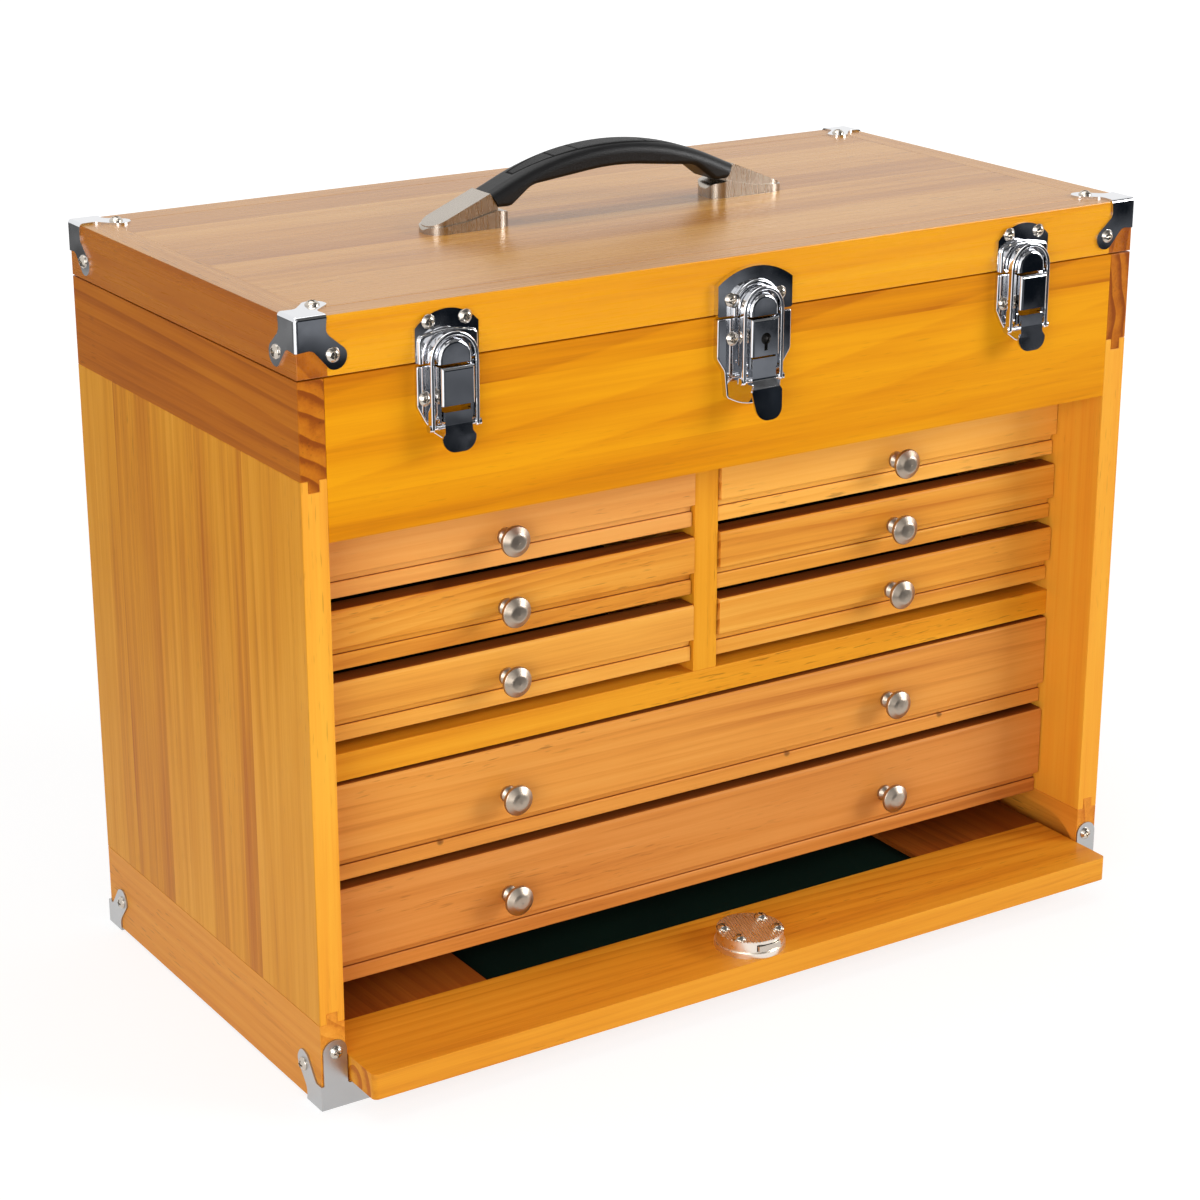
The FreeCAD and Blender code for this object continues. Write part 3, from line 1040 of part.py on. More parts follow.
def handle_grip():
    """A moulded arch between the caps, thicker under each end, with rounded edges."""
    half = [
        ("cap_crown_x - 0.3", f"{LID_TOP} + cap_crown_rise"),
        ("cap_throat_x - 0.3", f"{LID_TOP} + cap_throat_rise"),
        ("grip_lobe_x", f"{LID_TOP} + grip_lobe_rise", 6),
        ("grip_hollow_x", f"{LID_TOP} + grip_hollow_rise", 14),
    ]
    other_half = [(f"-({c[0]})",) + c[1:] for c in reversed(half)]
    underside = [(0, f"{LID_TOP} + grip_arch_rise", "grip_arch_radius")]
    top = [(0, f"{LID_TOP} + grip_tangent_rise", "grip_top_radius")]
    blank = plate("grip_blank", "XZ_Plane", half + underside + other_half + top,
                  "2 * grip_half_width", ("handle_x", "handle_y", 0), both=True)
    doc.recompute()
    middle = number("handle_y + front_y")
    crown_z = number(f"{LID_TOP} + cap_crown_rise")
    arch_z = number(f"{LID_TOP} + grip_arch_rise")

    def on_flank(edge):
        return abs(abs(edge.CenterOfMass.y - middle) - number("grip_half_width")) < 0.01

    def is_low(edge):
        reach = max(abs(v.X - number("handle_x")) for v in edge.Vertexes)
        return reach < number("cap_throat_x") and edge.CenterOfMass.z < arch_z

    soft_top = rounded("grip_soft_top", blank, lambda edge: (
        "grip_round" if on_flank(edge) and not is_low(edge)
        and min(v.Z for v in edge.Vertexes) > crown_z - 0.01 else None))
    keep(rounded("grip_soft", soft_top, lambda edge: (
        "grip_low_round" if on_flank(edge) and is_low(edge) else None)), "handle_grip")


# Screws

def screw_master(name, length):
    """A domed wood screw with a crossed slot, its seat at height 0 and its shank below."""
    blank = turned(f"{name}_blank", [
        (0, "screw_dome"),
        ("screw_head * 0.55", "screw_dome", "screw_head * 0.6"),
        ("screw_head", "screw_dome * 0.25", 0.5),
        ("screw_head", 0),
        ("screw_shank", 0),
        ("screw_shank", f"-{length} + 2"),
        (0, f"-{length}"),
    ])
    bars = []
    for i, (a, b) in enumerate((("slot_reach", "slot_width / 2"), ("slot_width / 2", "slot_reach")), start=1):
        bars.append(board(f"{name}_slot_{i}", (f"-({a})", f"-front_y - ({b})", "screw_dome - slot_depth"),
                          (a, f"-front_y + {b}", "screw_dome + 1")))
    master = cut(name, blank, *bars)
    doc.recompute()
    return [master]


def case_screws(screw):
    """Screws of the base brackets, the latch bases and the case's hinge leaves."""
    places = []
    for sign, to_side in ((-1, TURNS["-X"]), (1, TURNS["X"])):
        edge = f"{sign} * case_width / 2"
        for face, to_face, y, side_y in (
                ("-sheet", TURNS["-Y"], "-sheet", "bracket_side_screw_y"),
                ("case_depth + sheet", TURNS["Y"], "case_depth + sheet",
                 "case_depth - bracket_side_screw_y")):
            places.append(((f"{edge} - {sign} * bracket_screw_x", y, "bracket_screw_z"), to_face))
            places.append(((f"{edge} + {sign} * sheet", side_y, "bracket_side_screw_z"), to_side))
    for name, k, x in LATCHES:
        for sign in (-1, 1):
            places.append(((f"{x} + {sign} * {k}_pan_screw_x", f"-{k}_pan_deep", f"{k}_pan_screw_z"),
                           TURNS["-Y"]))
    for centre in ("(-hinge_offset)", "hinge_offset"):
        for x, away in leaf_screws(centre):
            places.append(((x, "case_depth + leaf_thick", f"{AXIS_Z} - {away}"), TURNS["Y"]))
    keep(copies("screws_of_case", screw, places), "case_screws")


def lid_screws(screw):
    """Screws of the corner caps, keepers, lid hinge leaves and, from inside, the handle."""
    places = []
    high = f"{LID_TOP} - cap_screw"
    for sign, to_side in ((-1, TURNS["-X"]), (1, TURNS["X"])):
        across = f"{sign} * (case_width / 2 - cap_screw)"
        for y, face_y, to_face in (("cap_screw", "-sheet", TURNS["-Y"]),
                                   ("case_depth - cap_screw", "case_depth + sheet", TURNS["Y"])):
            places.append(((across, face_y, high), to_face))
            places.append(((f"{sign} * (case_width / 2 + sheet)", y, high), to_side))
            places.append(((across, y, f"{LID_TOP} + sheet"), TURNS["Z"]))
    for name, k, x in LATCHES:
        for sign in (-1, 1):
            places.append(((f"{x} + {sign} * {k}_keeper_screw_x", f"-{k}_keeper_deep",
                            f"{k}_keeper_screw_z"), TURNS["-Y"]))
    for centre in ("(-hinge_offset)", "hinge_offset"):
        for x, away in leaf_screws(centre):
            places.append(((x, "case_depth + leaf_thick", f"{AXIS_Z} + {away}"), TURNS["Y"]))
    wood = copies("wood_screws_of_lid", screw, places)
    machine = []
    for sign in (-1, 1):
        seat = (f"handle_x + {sign} * handle_screw_x", "handle_y", f"{LID_TOP} - lid_panel_thick")
        head = rod(f"handle_screw_head_{sign + 2}", "Z", "handle_screw_head", 2,
                   (seat[0], seat[1], f"{seat[2]} - 2"))
        shank = rod(f"handle_screw_shank_{sign + 2}", "Z", "handle_screw_radius",
                    "lid_panel_thick + handle_screw_hold", seat)
        machine.append(joined(f"handle_screw_{sign + 2}", head, shank))
    keep(group("screws_of_lid", wood, *machine), "lid_screws")


def check_and_write():
    """Stops on any failed object, then writes one file for each sub-part."""
    doc.recompute()
    for thing in doc.Objects:
        if {"Invalid", "Error"} & set(thing.State):
            raise RuntimeError(f"{thing.Label} failed: {thing.getStatusString()}")
    for thing in subparts:
        if thing.Shape.isNull() or not thing.Shape.isValid():
            raise RuntimeError(f"{thing.Label} has no valid shape")
    os.makedirs("parts", exist_ok=True)
    for thing in subparts:
        thing.Shape.exportStep(f"parts/{thing.Label}.step")
    print(len(subparts), "sub-parts written")


side_panels()
side_battens()
till()
inner_frame()
runners()
drawers()
flap()
lid()
corner_caps()
base_brackets()
hinges()
latches()
lock_cam()
handle_caps()
handle_grip()
wood_screw = screw_master("wood_screw", "screw_length")
flap_lock(screw_master("lock_screw", "lock_screw_length"))
case_screws(wood_screw)
lid_screws(wood_screw)
check_and_write()
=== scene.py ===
import math

import bmesh
import bpy
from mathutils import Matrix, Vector


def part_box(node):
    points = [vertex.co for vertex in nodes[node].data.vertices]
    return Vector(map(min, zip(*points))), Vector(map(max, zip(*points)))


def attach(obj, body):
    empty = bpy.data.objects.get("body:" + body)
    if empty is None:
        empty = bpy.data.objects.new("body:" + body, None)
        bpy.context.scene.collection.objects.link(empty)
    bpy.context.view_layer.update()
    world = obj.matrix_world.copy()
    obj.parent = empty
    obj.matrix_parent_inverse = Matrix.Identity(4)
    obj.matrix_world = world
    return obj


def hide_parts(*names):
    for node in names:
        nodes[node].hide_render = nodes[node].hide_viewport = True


# Eight-drawer wooden machinist chest on a white floor. Metres, in the frame of the CAD model.

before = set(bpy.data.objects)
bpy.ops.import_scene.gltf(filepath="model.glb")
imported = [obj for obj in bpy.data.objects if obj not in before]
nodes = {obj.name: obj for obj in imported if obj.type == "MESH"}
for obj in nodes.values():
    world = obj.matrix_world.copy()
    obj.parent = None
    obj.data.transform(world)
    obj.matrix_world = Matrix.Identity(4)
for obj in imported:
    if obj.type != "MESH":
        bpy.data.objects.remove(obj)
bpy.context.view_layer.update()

MM = 0.001
BACK_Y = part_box("side_panels")[1][1]
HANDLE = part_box("handle_grip")
LOCK_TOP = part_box("flap_lock_case")[1][2]


def srgb(red, green, blue):
    """A colour given as on a screen, 0 to 255, in the linear values that Blender uses."""
    def linear(value):
        value /= 255
        return value / 12.92 if value <= 0.04045 else ((value + 0.055) / 1.055) ** 2.4
    return (linear(red), linear(green), linear(blue), 1)


def wave_scale(spacing):
    """The scale at which a wave texture repeats at this spacing."""
    return 2 * math.pi / (20 * spacing)


class Tree:
    """A material's nodes. Each call adds a node and gives its output."""

    def __init__(self, name):
        self.material = bpy.data.materials.new(name)
        self.material.use_nodes = True
        self.nodes = self.material.node_tree.nodes
        self.links = self.material.node_tree.links
        self.shader = self.nodes["Principled BSDF"]

    def put(self, socket, value):
        if isinstance(value, bpy.types.NodeSocket):
            self.links.new(value, socket)
        else:
            socket.default_value = value

    def finish(self, **fields):
        """Sets the shader's own sockets, named with underscores for spaces."""
        for name, value in fields.items():
            self.put(self.shader.inputs[name.replace("_", " ")], value)
        return self.material

    def add(self, kind, inputs, output=0, **settings):
        node = self.nodes.new(kind)
        for name, value in settings.items():
            setattr(node, name, value)
        for key, value in inputs.items():
            self.put(node.inputs[key], value)
        return node.outputs[output]

    def position(self):
        return self.add("ShaderNodeTexCoord", {}, "Object")

    def parts(self, vector):
        """The three coordinates of a vector, by letter."""
        node = self.nodes.new("ShaderNodeSeparateXYZ")
        self.links.new(vector, node.inputs[0])
        return {letter: node.outputs[letter] for letter in "XYZ"}

    def together(self, x, y, z):
        return self.add("ShaderNodeCombineXYZ", {"X": x, "Y": y, "Z": z})

    def mapped(self, vector, shift=(0, 0, 0), turn=(0, 0, 0), scale=(1, 1, 1)):
        return self.add("ShaderNodeMapping",
                        {"Vector": vector, "Location": shift, "Rotation": turn, "Scale": scale})

    def moved_by(self, vector, step, amount):
        """The vector moved along a fixed step, by a varying amount."""
        push = self.add("ShaderNodeVectorMath", {0: step, "Scale": amount}, operation="SCALE")
        return self.add("ShaderNodeVectorMath", {0: vector, 1: push}, operation="ADD")

    def math(self, operation, a, b=0.0, clamp=False):
        return self.add("ShaderNodeMath", {0: a, 1: b}, operation=operation, use_clamp=clamp)

    def noise(self, vector, scale, detail=2.0, roughness=0.5):
        return self.add("ShaderNodeTexNoise",
                        {"Vector": vector, "Scale": scale, "Detail": detail, "Roughness": roughness})

    def ramp(self, factor, stops, interpolation="LINEAR"):
        """A colour or grey level that changes with the factor, from pairs of place and colour."""
        node = self.nodes.new("ShaderNodeValToRGB")
        node.color_ramp.interpolation = interpolation
        elements = node.color_ramp.elements
        while len(elements) < len(stops):
            elements.new(1)
        for element, (place, colour) in zip(elements, stops):
            element.position = place
            element.color = colour if isinstance(colour, tuple) else (colour, colour, colour, 1)
        self.links.new(factor, node.inputs[0])
        return node.outputs[0]

    def mixed(self, factor, a, b, blend="MIX"):
        return self.add("ShaderNodeMix", {0: factor, 6: a, 7: b}, 2, data_type="RGBA", blend_type=blend)

    def bumped(self, height, strength, distance):
        self.finish(Normal=self.add("ShaderNodeBump", {"Height": height, "Strength": strength,
                                                       "Distance": distance}))


# Woods

# The letters of the directions along the grain and across it
GRAIN = {"X": "XYZ", "Y": "YXZ", "Z": "ZXY"}

# The pith line's sideways swing, as a share of its tilt
SWING = 0.6

# How often each layer of a wood's figure changes in a metre, along the grain and across it
RINGS_COME_AND_GO = (1.1, 17, 17)
STREAKS = (1.6, 42, 42)
CLOUDS = (6, 16, 16)
LINES = (2.4, 170, 170)
FIBRES = (16, 620, 620)
DASHES = (75, 900, 900)
DASH_PATCHES = (5, 30, 30)


def along_grain(tree, vector, grain, turned, beyond):
    """The vector's coordinates in an order that starts with the one along the grain."""
    parts = tree.parts(vector)
    ordered = tree.together(*(parts[letter] for letter in GRAIN[grain]))
    if not turned:
        return ordered
    other = tree.together(*(parts[letter] for letter in GRAIN[turned["grain"]]))
    return tree.add("ShaderNodeMix", {0: beyond, 4: ordered, 5: other}, 1, data_type="VECTOR")


def past_limit(tree, turned):
    """One on the members of a frame whose grain runs the other way, nought on the rest."""
    place = tree.parts(tree.position())[turned["letter"]]
    if turned["letter"] == "X":
        place = tree.math("ABSOLUTE", place)
    return tree.math("GREATER_THAN", place, turned["limit"])


def strip_tone(tree, across, edges, seed):
    """A level from 0 to 1 that changes from strip to strip of a glued-up board."""
    span = edges[-1] - edges[0]
    place = tree.math("DIVIDE", tree.math("SUBTRACT", across, edges[0]), span)
    stops = [((edge - edges[0]) / span, (seed + 0.618 * i) % 1) for i, edge in enumerate(edges[:-1])]
    return tree.ramp(place, stops, "CONSTANT")


def growth_rings(tree, vector, seed, pith, gap, tilt):
    """Rings about a tilted pith line, pale at first and closing with a dark line, unevenly spaced."""
    uneven = tree.noise(tree.mapped(vector, shift=(seed, seed, 0), scale=(1.3, 24, 24)), 1, 2)
    log = tree.moved_by(vector, (0, 0.01, 0.008), uneven)
    log = tree.mapped(log, shift=(0, -pith[0], -pith[1]), turn=(0, tilt, SWING * tilt))
    log = tree.mapped(log, scale=(0.16, 1, 1))
    saw = tree.add("ShaderNodeTexWave", {
        "Vector": log, "Scale": wave_scale(gap), "Distortion": 4.5, "Detail": 2,
        "Detail Scale": 0.35, "Detail Roughness": 0.55,
    }, "Fac", wave_type="RINGS", rings_direction="X", wave_profile="SAW")
    return tree.ramp(saw, [(0, 0.1), (0.4, 0.25), (0.84, 0.9), (0.93, 1), (1, 0.1)])


def small_knots(tree, places):
    """One inside each small round knot, given by its middle and its radius."""
    found = 0.0
    for *middle, radius in places:
        away = tree.add("ShaderNodeVectorMath", {0: tree.position(), 1: middle}, 1, operation="DISTANCE")
        inside = tree.ramp(tree.math("DIVIDE", away, radius), [(0, 1), (0.5, 0.9), (1, 0)])
        found = tree.math("MAXIMUM", found, inside)
    return found


def wood(name, grain, colours, seed, pith=(0.09, 0.05), ring_gap=8 * MM, tilt=0.03, rings=0.16,
         streaks=0.55, fibres=0.34, flecks=0.5, strips=None, strip_change=0.45, turned=None,
         knots=(), top_sheen_and_shade_colours=None, gloss=0.2, coat=0.0, roughness=0.42, relief=0.1):
    """Lacquered pine. Growth rings lie about a tilted pith line, so faces show arches and end grain."""
    tree = Tree(name)
    beyond = past_limit(tree, turned) if turned else None
    vector = along_grain(tree, tree.position(), grain, turned, beyond)
    normal = tree.add("ShaderNodeTexCoord", {}, "Normal")
    facing = along_grain(tree, normal, grain, turned, beyond)
    end_face = tree.math("POWER", tree.math("ABSOLUTE", tree.parts(facing)["X"]), 6)
    level = 0.5
    if strips:
        letter, edges = strips
        tone = strip_tone(tree, tree.parts(tree.position())[letter], edges, seed)
        vector = tree.moved_by(vector, (3.1, 0.037, 0.023), tone)
        level = tree.math("ADD", tree.math("MULTIPLY", tree.math("SUBTRACT", tone, 0.5), strip_change), 0.5)

    # The rings show clearly on end faces, and fade in and out along the others
    ring = growth_rings(tree, vector, seed, pith, ring_gap, tilt)
    seeded = tree.mapped(vector, shift=(seed, 0.31 * seed, 0.17 * seed))
    come_and_go = tree.noise(tree.mapped(seeded, scale=RINGS_COME_AND_GO), 1, 2)
    shown = tree.math("ADD", tree.ramp(come_and_go, [(0.38, 0.2), (0.62, 1)]),
                      tree.math("MULTIPLY", end_face, 2.2))

    # Broad streaks, lines, fine fibres and short dark flecks, all drawn out along the grain
    broad = tree.noise(tree.mapped(seeded, scale=STREAKS), 1, 3, 0.6)
    cloud = tree.noise(tree.mapped(seeded, scale=CLOUDS), 1, 2, 0.5)
    line = tree.noise(tree.mapped(seeded, scale=LINES), 1, 4, 0.7)
    fibre = tree.noise(tree.mapped(seeded, scale=FIBRES), 1, 3, 0.75)
    dashes = tree.noise(tree.mapped(seeded, scale=DASHES), 1, 1, 0.5)
    patches = tree.noise(tree.mapped(seeded, scale=DASH_PATCHES), 1, 1, 0.5)
    fleck = tree.math("MULTIPLY", tree.ramp(dashes, [(0.64, 0), (0.74, 1)]),
                      tree.ramp(patches, [(0.48, 0), (0.64, 1)]))

    layers = (
        (broad, 0.5, 1.5 * streaks),
        (cloud, 0.5, 0.9 * streaks),
        (line, 0.5, 1.5 * streaks),
        (ring, 0.4, tree.math("MULTIPLY", shown, rings)),
        (fibre, 0.5, fibres),
    )
    for source, middle, amount in layers:
        part = tree.math("MULTIPLY", tree.math("SUBTRACT", source, middle), amount)
        level = tree.math("ADD", level, part)
    stained = tree.math("ADD", level, tree.math("MULTIPLY", end_face, 0.12))
    body = graded(tree, stained, colours)
    if turned:
        body = tree.mixed(beyond, body, graded(tree, stained, turned["colours"]))
    # Up-facing faces can take another palette: painted shade on the drawer fronts' tops, painted sheen on
    # the lid rails' tops
    if top_sheen_and_shade_colours:
        painted_top = tree.math("GREATER_THAN", tree.parts(normal)["Z"], 0.85)
        body = tree.mixed(painted_top, body, graded(tree, stained, top_sheen_and_shade_colours))
    marks = tree.math("MULTIPLY", fleck, flecks)
    if knots:
        marks = tree.math("MAXIMUM", marks, tree.math("MULTIPLY", small_knots(tree, knots), 0.8))
    dark = tuple(0.3 * c for c in srgb(*colours[2])[:3]) + (1,)
    colour = tree.mixed(marks, body, dark)
    height = tree.math("ADD", tree.math("MULTIPLY", fibre, 0.5), tree.math("MULTIPLY", fleck, -0.5))
    tree.bumped(height, relief, 0.3 * MM)
    shine = tree.math("ADD", roughness - 0.06, tree.math("MULTIPLY", fibre, 0.12))
    return tree.finish(Base_Color=colour, Roughness=shine, Specular_IOR_Level=gloss,
                       Coat_Weight=coat, Coat_Roughness=0.15)


def graded(tree, level, colours):
    """The wood's colour, from its palest to its deepest."""
    pale, middle, deep = (srgb(*colour) for colour in colours)
    return tree.ramp(level, [(0.08, pale), (0.5, middle), (0.95, deep)])


STAVE = ((240, 171, 60), (222, 148, 34), (184, 98, 14))
# A lighter copy of the stave palette for the side panels' inner faces and front edges: painted light from
# the front
STAVE_INNER_PAINTED_LIGHT = ((244, 180, 60), (238, 160, 48), (216, 126, 34))
YELLOW = ((242, 172, 18), (232, 154, 6), (206, 118, 3))
AMBER = ((232, 156, 8), (219, 138, 2), (188, 105, 2))
RAIL = ((240, 174, 54), (229, 155, 35), (205, 123, 20))
GOLDEN = ((238, 174, 74), (224, 150, 50), (194, 112, 26))
RED_BROWN = ((204, 124, 22), (184, 102, 14), (142, 68, 8))
LOW_BATTEN = ((240, 168, 66), (228, 148, 48), (194, 108, 28))
ROSY = ((240, 176, 96), (232, 162, 80), (212, 134, 56))
STRAW = ((250, 192, 96), (243, 176, 74), (226, 148, 50))
BISCUIT = ((246, 188, 92), (232, 162, 64), (202, 126, 38))
CEDAR = ((232, 165, 80), (220, 146, 60), (184, 106, 34))
DEEP_CEDAR = ((222, 151, 76), (207, 132, 57), (168, 92, 32))
TAN = ((218, 160, 78), (202, 140, 56), (168, 105, 32))
# Darker palette for the drawer fronts' up-facing faces: painted shade, as under the moulding above
TOP_EDGE_PAINTED_SHADE = ((150, 84, 30), (128, 66, 22), (92, 42, 12))
FLAP = ((240, 168, 50), (228, 150, 36), (194, 106, 18))
# The flap's stiles: a redder stain, darkened further by painted shade from the drawers above
FLAP_END_STAIN_AND_SHADE = ((172, 96, 30), (150, 76, 22), (112, 50, 12))


def from_back(*distances):
    """Strip edges given in millimetres from the back, as places from front to back."""
    return [BACK_Y - d * MM for d in sorted(distances, reverse=True)]


def case_woods():
    """Sides, boards and rails of the case."""
    side_strips = ("Y", from_back(0, 46, 93, 143, 184, 199, 262))
    # The outer faces take the plain stave palette, the inner faces and front edges the lighter copy painted
    # as lit from the front
    outer_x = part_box("side_panels")[1][0] - 0.3 * MM
    outer = {"letter": "X", "limit": outer_x, "grain": "Z", "colours": STAVE}
    till_strips = ("Z", [0.29, 0.3195, 0.365, 0.39])
    return {
        "side_panels": wood("stave_wood", "Z", STAVE_INNER_PAINTED_LIGHT, 1.3, turned=outer, strips=side_strips,
                            pith=(-0.33, 0.02), tilt=0.02, ring_gap=12 * MM, rings=0.3,
                            strip_change=0.5, flecks=0.3, gloss=0.13),
        "side_top_battens": wood("top_batten_wood", "Y", RED_BROWN, 2.1, pith=(-0.3, 0.29),
                                 rings=0.3, gloss=0.14),
        "side_bottom_battens": wood("bottom_batten_wood", "Y", LOW_BATTEN, 3.7, pith=(-0.31, -0.03),
                                    gloss=0.14),
        "till_front_board": wood("till_wood", "X", AMBER, 4.4, strips=till_strips, pith=(-0.02, 0.25),
                                 tilt=0.09, ring_gap=14 * MM, rings=0.3, streaks=0.7, flecks=0.15,
                                 strip_change=0.4, gloss=0.1),
        "back_panel": wood("back_wood", "X", GOLDEN, 5.2),
        "mid_rails": wood("rail_wood", "X", RAIL, 6.6, gloss=0.1),
        "centre_divider": wood("divider_wood", "Z", RAIL, 7.9, gloss=0.1),
    }


# How far from the middle the lid's end rails start
END_RAILS_START = 0.2415


def lid_woods():
    """The lid's rails, with end rails of a redder board and tops in the panel's paler tan as painted sheen,
    and its glued-up panel.
    """
    strips = ("Y", from_back(0, 48, 80, 108, 140, 162, 193, 230, 262))
    ends = {"letter": "X", "limit": END_RAILS_START, "grain": "Y", "colours": RED_BROWN}
    return {
        # The rails' up-facing faces take the panel's tan palette: painted sheen
        "lid_rails": wood("lid_edge_wood", "X", YELLOW, 8.3, turned=ends, pith=(-0.2, 0.45),
                          ring_gap=11 * MM, top_sheen_and_shade_colours=TAN, gloss=0.42, roughness=0.28, relief=0.03),
        "lid_panel": wood("lid_wood", "X", TAN, 9.5, strips=strips, pith=(0.02, 0.36), rings=0.08,
                          strip_change=0.45, gloss=0.42, roughness=0.28, relief=0.03),
    }


def flap_woods():
    """The flap's frame, with a loop of rings left of the lock and stiles of a redder stain darkened by
    painted shade, and the panel under its cloth.
    """
    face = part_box("flap_frame")[1][2]
    tilt = 0.08
    apex_x = -0.13
    ends = {"letter": "Y", "limit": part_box("flap_panel")[0][1], "grain": "Y", "colours": FLAP_END_STAIN_AND_SHADE}
    return {
        "flap_frame": wood("flap_wood", "X", FLAP, 10.7, turned=ends, tilt=tilt, ring_gap=8 * MM,
                           pith=(-0.128 + SWING * tilt * apex_x, face - tilt * apex_x), rings=0.38),
        "flap_panel": wood("flap_panel_wood", "X", GOLDEN, 11.2),
    }


# Small knots along the foot of the upper wide drawer's front: their places across, and their radius
KNOTS_X = (-0.165, 0.058, 0.167)
KNOT_RADIUS = 2.4 * MM


def drawer_woods(inner):
    """Drawer fronts, each of its own board, with painted shade on their up-facing top faces, and the plain
    boxes behind them.
    """
    made = {}
    fronts = (ROSY, GOLDEN, BISCUIT, STRAW, GOLDEN, GOLDEN, CEDAR, DEEP_CEDAR)
    for number, colours in enumerate(fronts, start=1):
        low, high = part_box(f"drawer_{number}_front")
        pith = (-0.05 - 0.01 * number, low[2] - 0.02)
        tilt = 0.025 * (-1) ** number
        gap = 8 * MM
        knots = []
        if number == 2:
            # The board's rings close in arches towards its right end
            tilt = 0.1
            gap = 6 * MM
            arch_x = -0.07
            pith = (low[1] + SWING * tilt * arch_x, (low[2] + high[2]) / 2 + 7 * MM)
        if number == 7:
            for x in KNOTS_X:
                knots.append((x, low[1] + 3 * MM, low[2] + 8 * MM, KNOT_RADIUS))
        made[f"drawer_{number}_front"] = wood(
            f"drawer_{number}_wood", "X", colours, 13 + 1.37 * number, pith=pith, tilt=tilt,
            ring_gap=gap, knots=knots, top_sheen_and_shade_colours=TOP_EDGE_PAINTED_SHADE,
            rings=0.36 if number in (2, 5) else 0.26, flecks=0.25 if number == 8 else 0.5)
        made[f"drawer_{number}_box"] = inner
    return made


def wooden_materials():
    """The material of each wooden node."""
    inner = wood("inner_wood", "Y", STRAW, 12.8, flecks=0.25, roughness=0.5)
    made = {name: inner for name in ("till_floor", "bottom_board", "drawer_runners")}
    for group in (case_woods(), lid_woods(), flap_woods(), drawer_woods(inner)):
        made.update(group)
    return made


# Metals, moulded grip and cloth

def chrome():
    """Mirror plate with a faint haze."""
    tree = Tree("mirror_plate")
    haze = tree.noise(tree.position(), 60, 4, 0.6)
    shine = tree.ramp(haze, [(0.35, 0.03), (0.7, 0.09)])
    tree.bumped(tree.noise(tree.position(), 60, 1), 0.1, 0.5 * MM)
    return tree.finish(Base_Color=srgb(228, 229, 232), Metallic=1, Roughness=shine)


def brushed(name, colour, roughness, scale=(900, 900, 60)):
    """Satin metal with fine drawn lines."""
    tree = Tree(name)
    lines = tree.noise(tree.mapped(tree.position(), scale=scale), 1, 3, 0.6)
    cloud = tree.noise(tree.position(), 45, 2)
    shine = tree.math("ADD", roughness - 0.06, tree.math("MULTIPLY", lines, 0.12))
    shade = tree.mixed(cloud, tuple(0.86 * c for c in colour[:3]) + (1,), colour)
    tree.bumped(lines, 0.05, 0.1 * MM)
    return tree.finish(Base_Color=shade, Metallic=1, Roughness=shine)


def ribbed_metal():
    """The lock's case, with fine ribs pressed into its top."""
    tree = Tree("ribbed_nickel")
    ribs = tree.add("ShaderNodeTexWave", {
        "Vector": tree.mapped(tree.position(), turn=(0, 0, math.radians(18))),
        "Scale": wave_scale(1.6 * MM), "Distortion": 0.2,
    }, "Fac", wave_type="BANDS", bands_direction="X", wave_profile="SIN")
    height = tree.parts(tree.position())["Z"]
    on_top = tree.math("GREATER_THAN", height, LOCK_TOP - 0.4 * MM)
    tree.bumped(tree.math("MULTIPLY", ribs, on_top), 1, 0.6 * MM)
    haze = tree.noise(tree.position(), 300, 2)
    shine = tree.ramp(haze, [(0.3, 0.26), (0.7, 0.38)])
    return tree.finish(Base_Color=srgb(236, 228, 217), Metallic=1, Roughness=shine)


# The grip's inset, measured from its middle
INSET_REACH = 60 * MM
INSET_HALF_WIDTH = 7.6 * MM
INSET_TAPER = 1.3
INSET_LINES = (22 * MM, 36 * MM)
HALF_LINE = 0.7 * MM


def black_grip():
    """Moulded black grip with a finely grained inset on its back."""
    tree = Tree("black_grip")
    parts = tree.parts(tree.position())
    middle_x = (HANDLE[0][0] + HANDLE[1][0]) / 2
    middle_y = (HANDLE[0][1] + HANDLE[1][1]) / 2
    run = tree.math("ABSOLUTE", tree.math("SUBTRACT", parts["X"], middle_x))
    side = tree.math("ABSOLUTE", tree.math("SUBTRACT", parts["Y"], middle_y))
    # The inset narrows towards its ends
    taper = tree.math("MULTIPLY", tree.math("MULTIPLY", run, run), INSET_TAPER)
    edge = tree.math("MAXIMUM", tree.math("SUBTRACT", run, INSET_REACH),
                     tree.math("ADD", tree.math("SUBTRACT", side, INSET_HALF_WIDTH), taper))
    up = tree.parts(tree.add("ShaderNodeNewGeometry", {}, "Normal"))["Z"]
    facing = tree.math("GREATER_THAN", up, 0.25)
    inside = tree.math("MULTIPLY", tree.math("LESS_THAN", edge, 0.0), facing)
    line = tree.math("LESS_THAN", tree.math("ABSOLUTE", edge), HALF_LINE)
    for place in INSET_LINES:
        away = tree.math("ABSOLUTE", tree.math("SUBTRACT", run, place))
        near = tree.math("LESS_THAN", away, HALF_LINE)
        line = tree.math("MAXIMUM", line, tree.math("MULTIPLY", near, inside))
    line = tree.math("MULTIPLY", line, facing)
    pores = tree.noise(tree.position(), 1100, 2, 0.6)
    grain = tree.math("MULTIPLY", pores, tree.math("ADD", tree.math("MULTIPLY", inside, 0.5), 0.12))
    tree.bumped(tree.math("SUBTRACT", grain, line), 1, 0.9 * MM)
    worn = tree.math("ADD", tree.math("MULTIPLY", inside, 0.14), 0.4)
    shine = tree.math("MAXIMUM", worn, line)
    # The inset's outline and grooves are near-black: painted shade in the grooves
    colour = tree.mixed(line, srgb(15, 15, 16), srgb(1, 1, 1))
    return tree.finish(Base_Color=colour, Roughness=shine, Specular_IOR_Level=0.3)


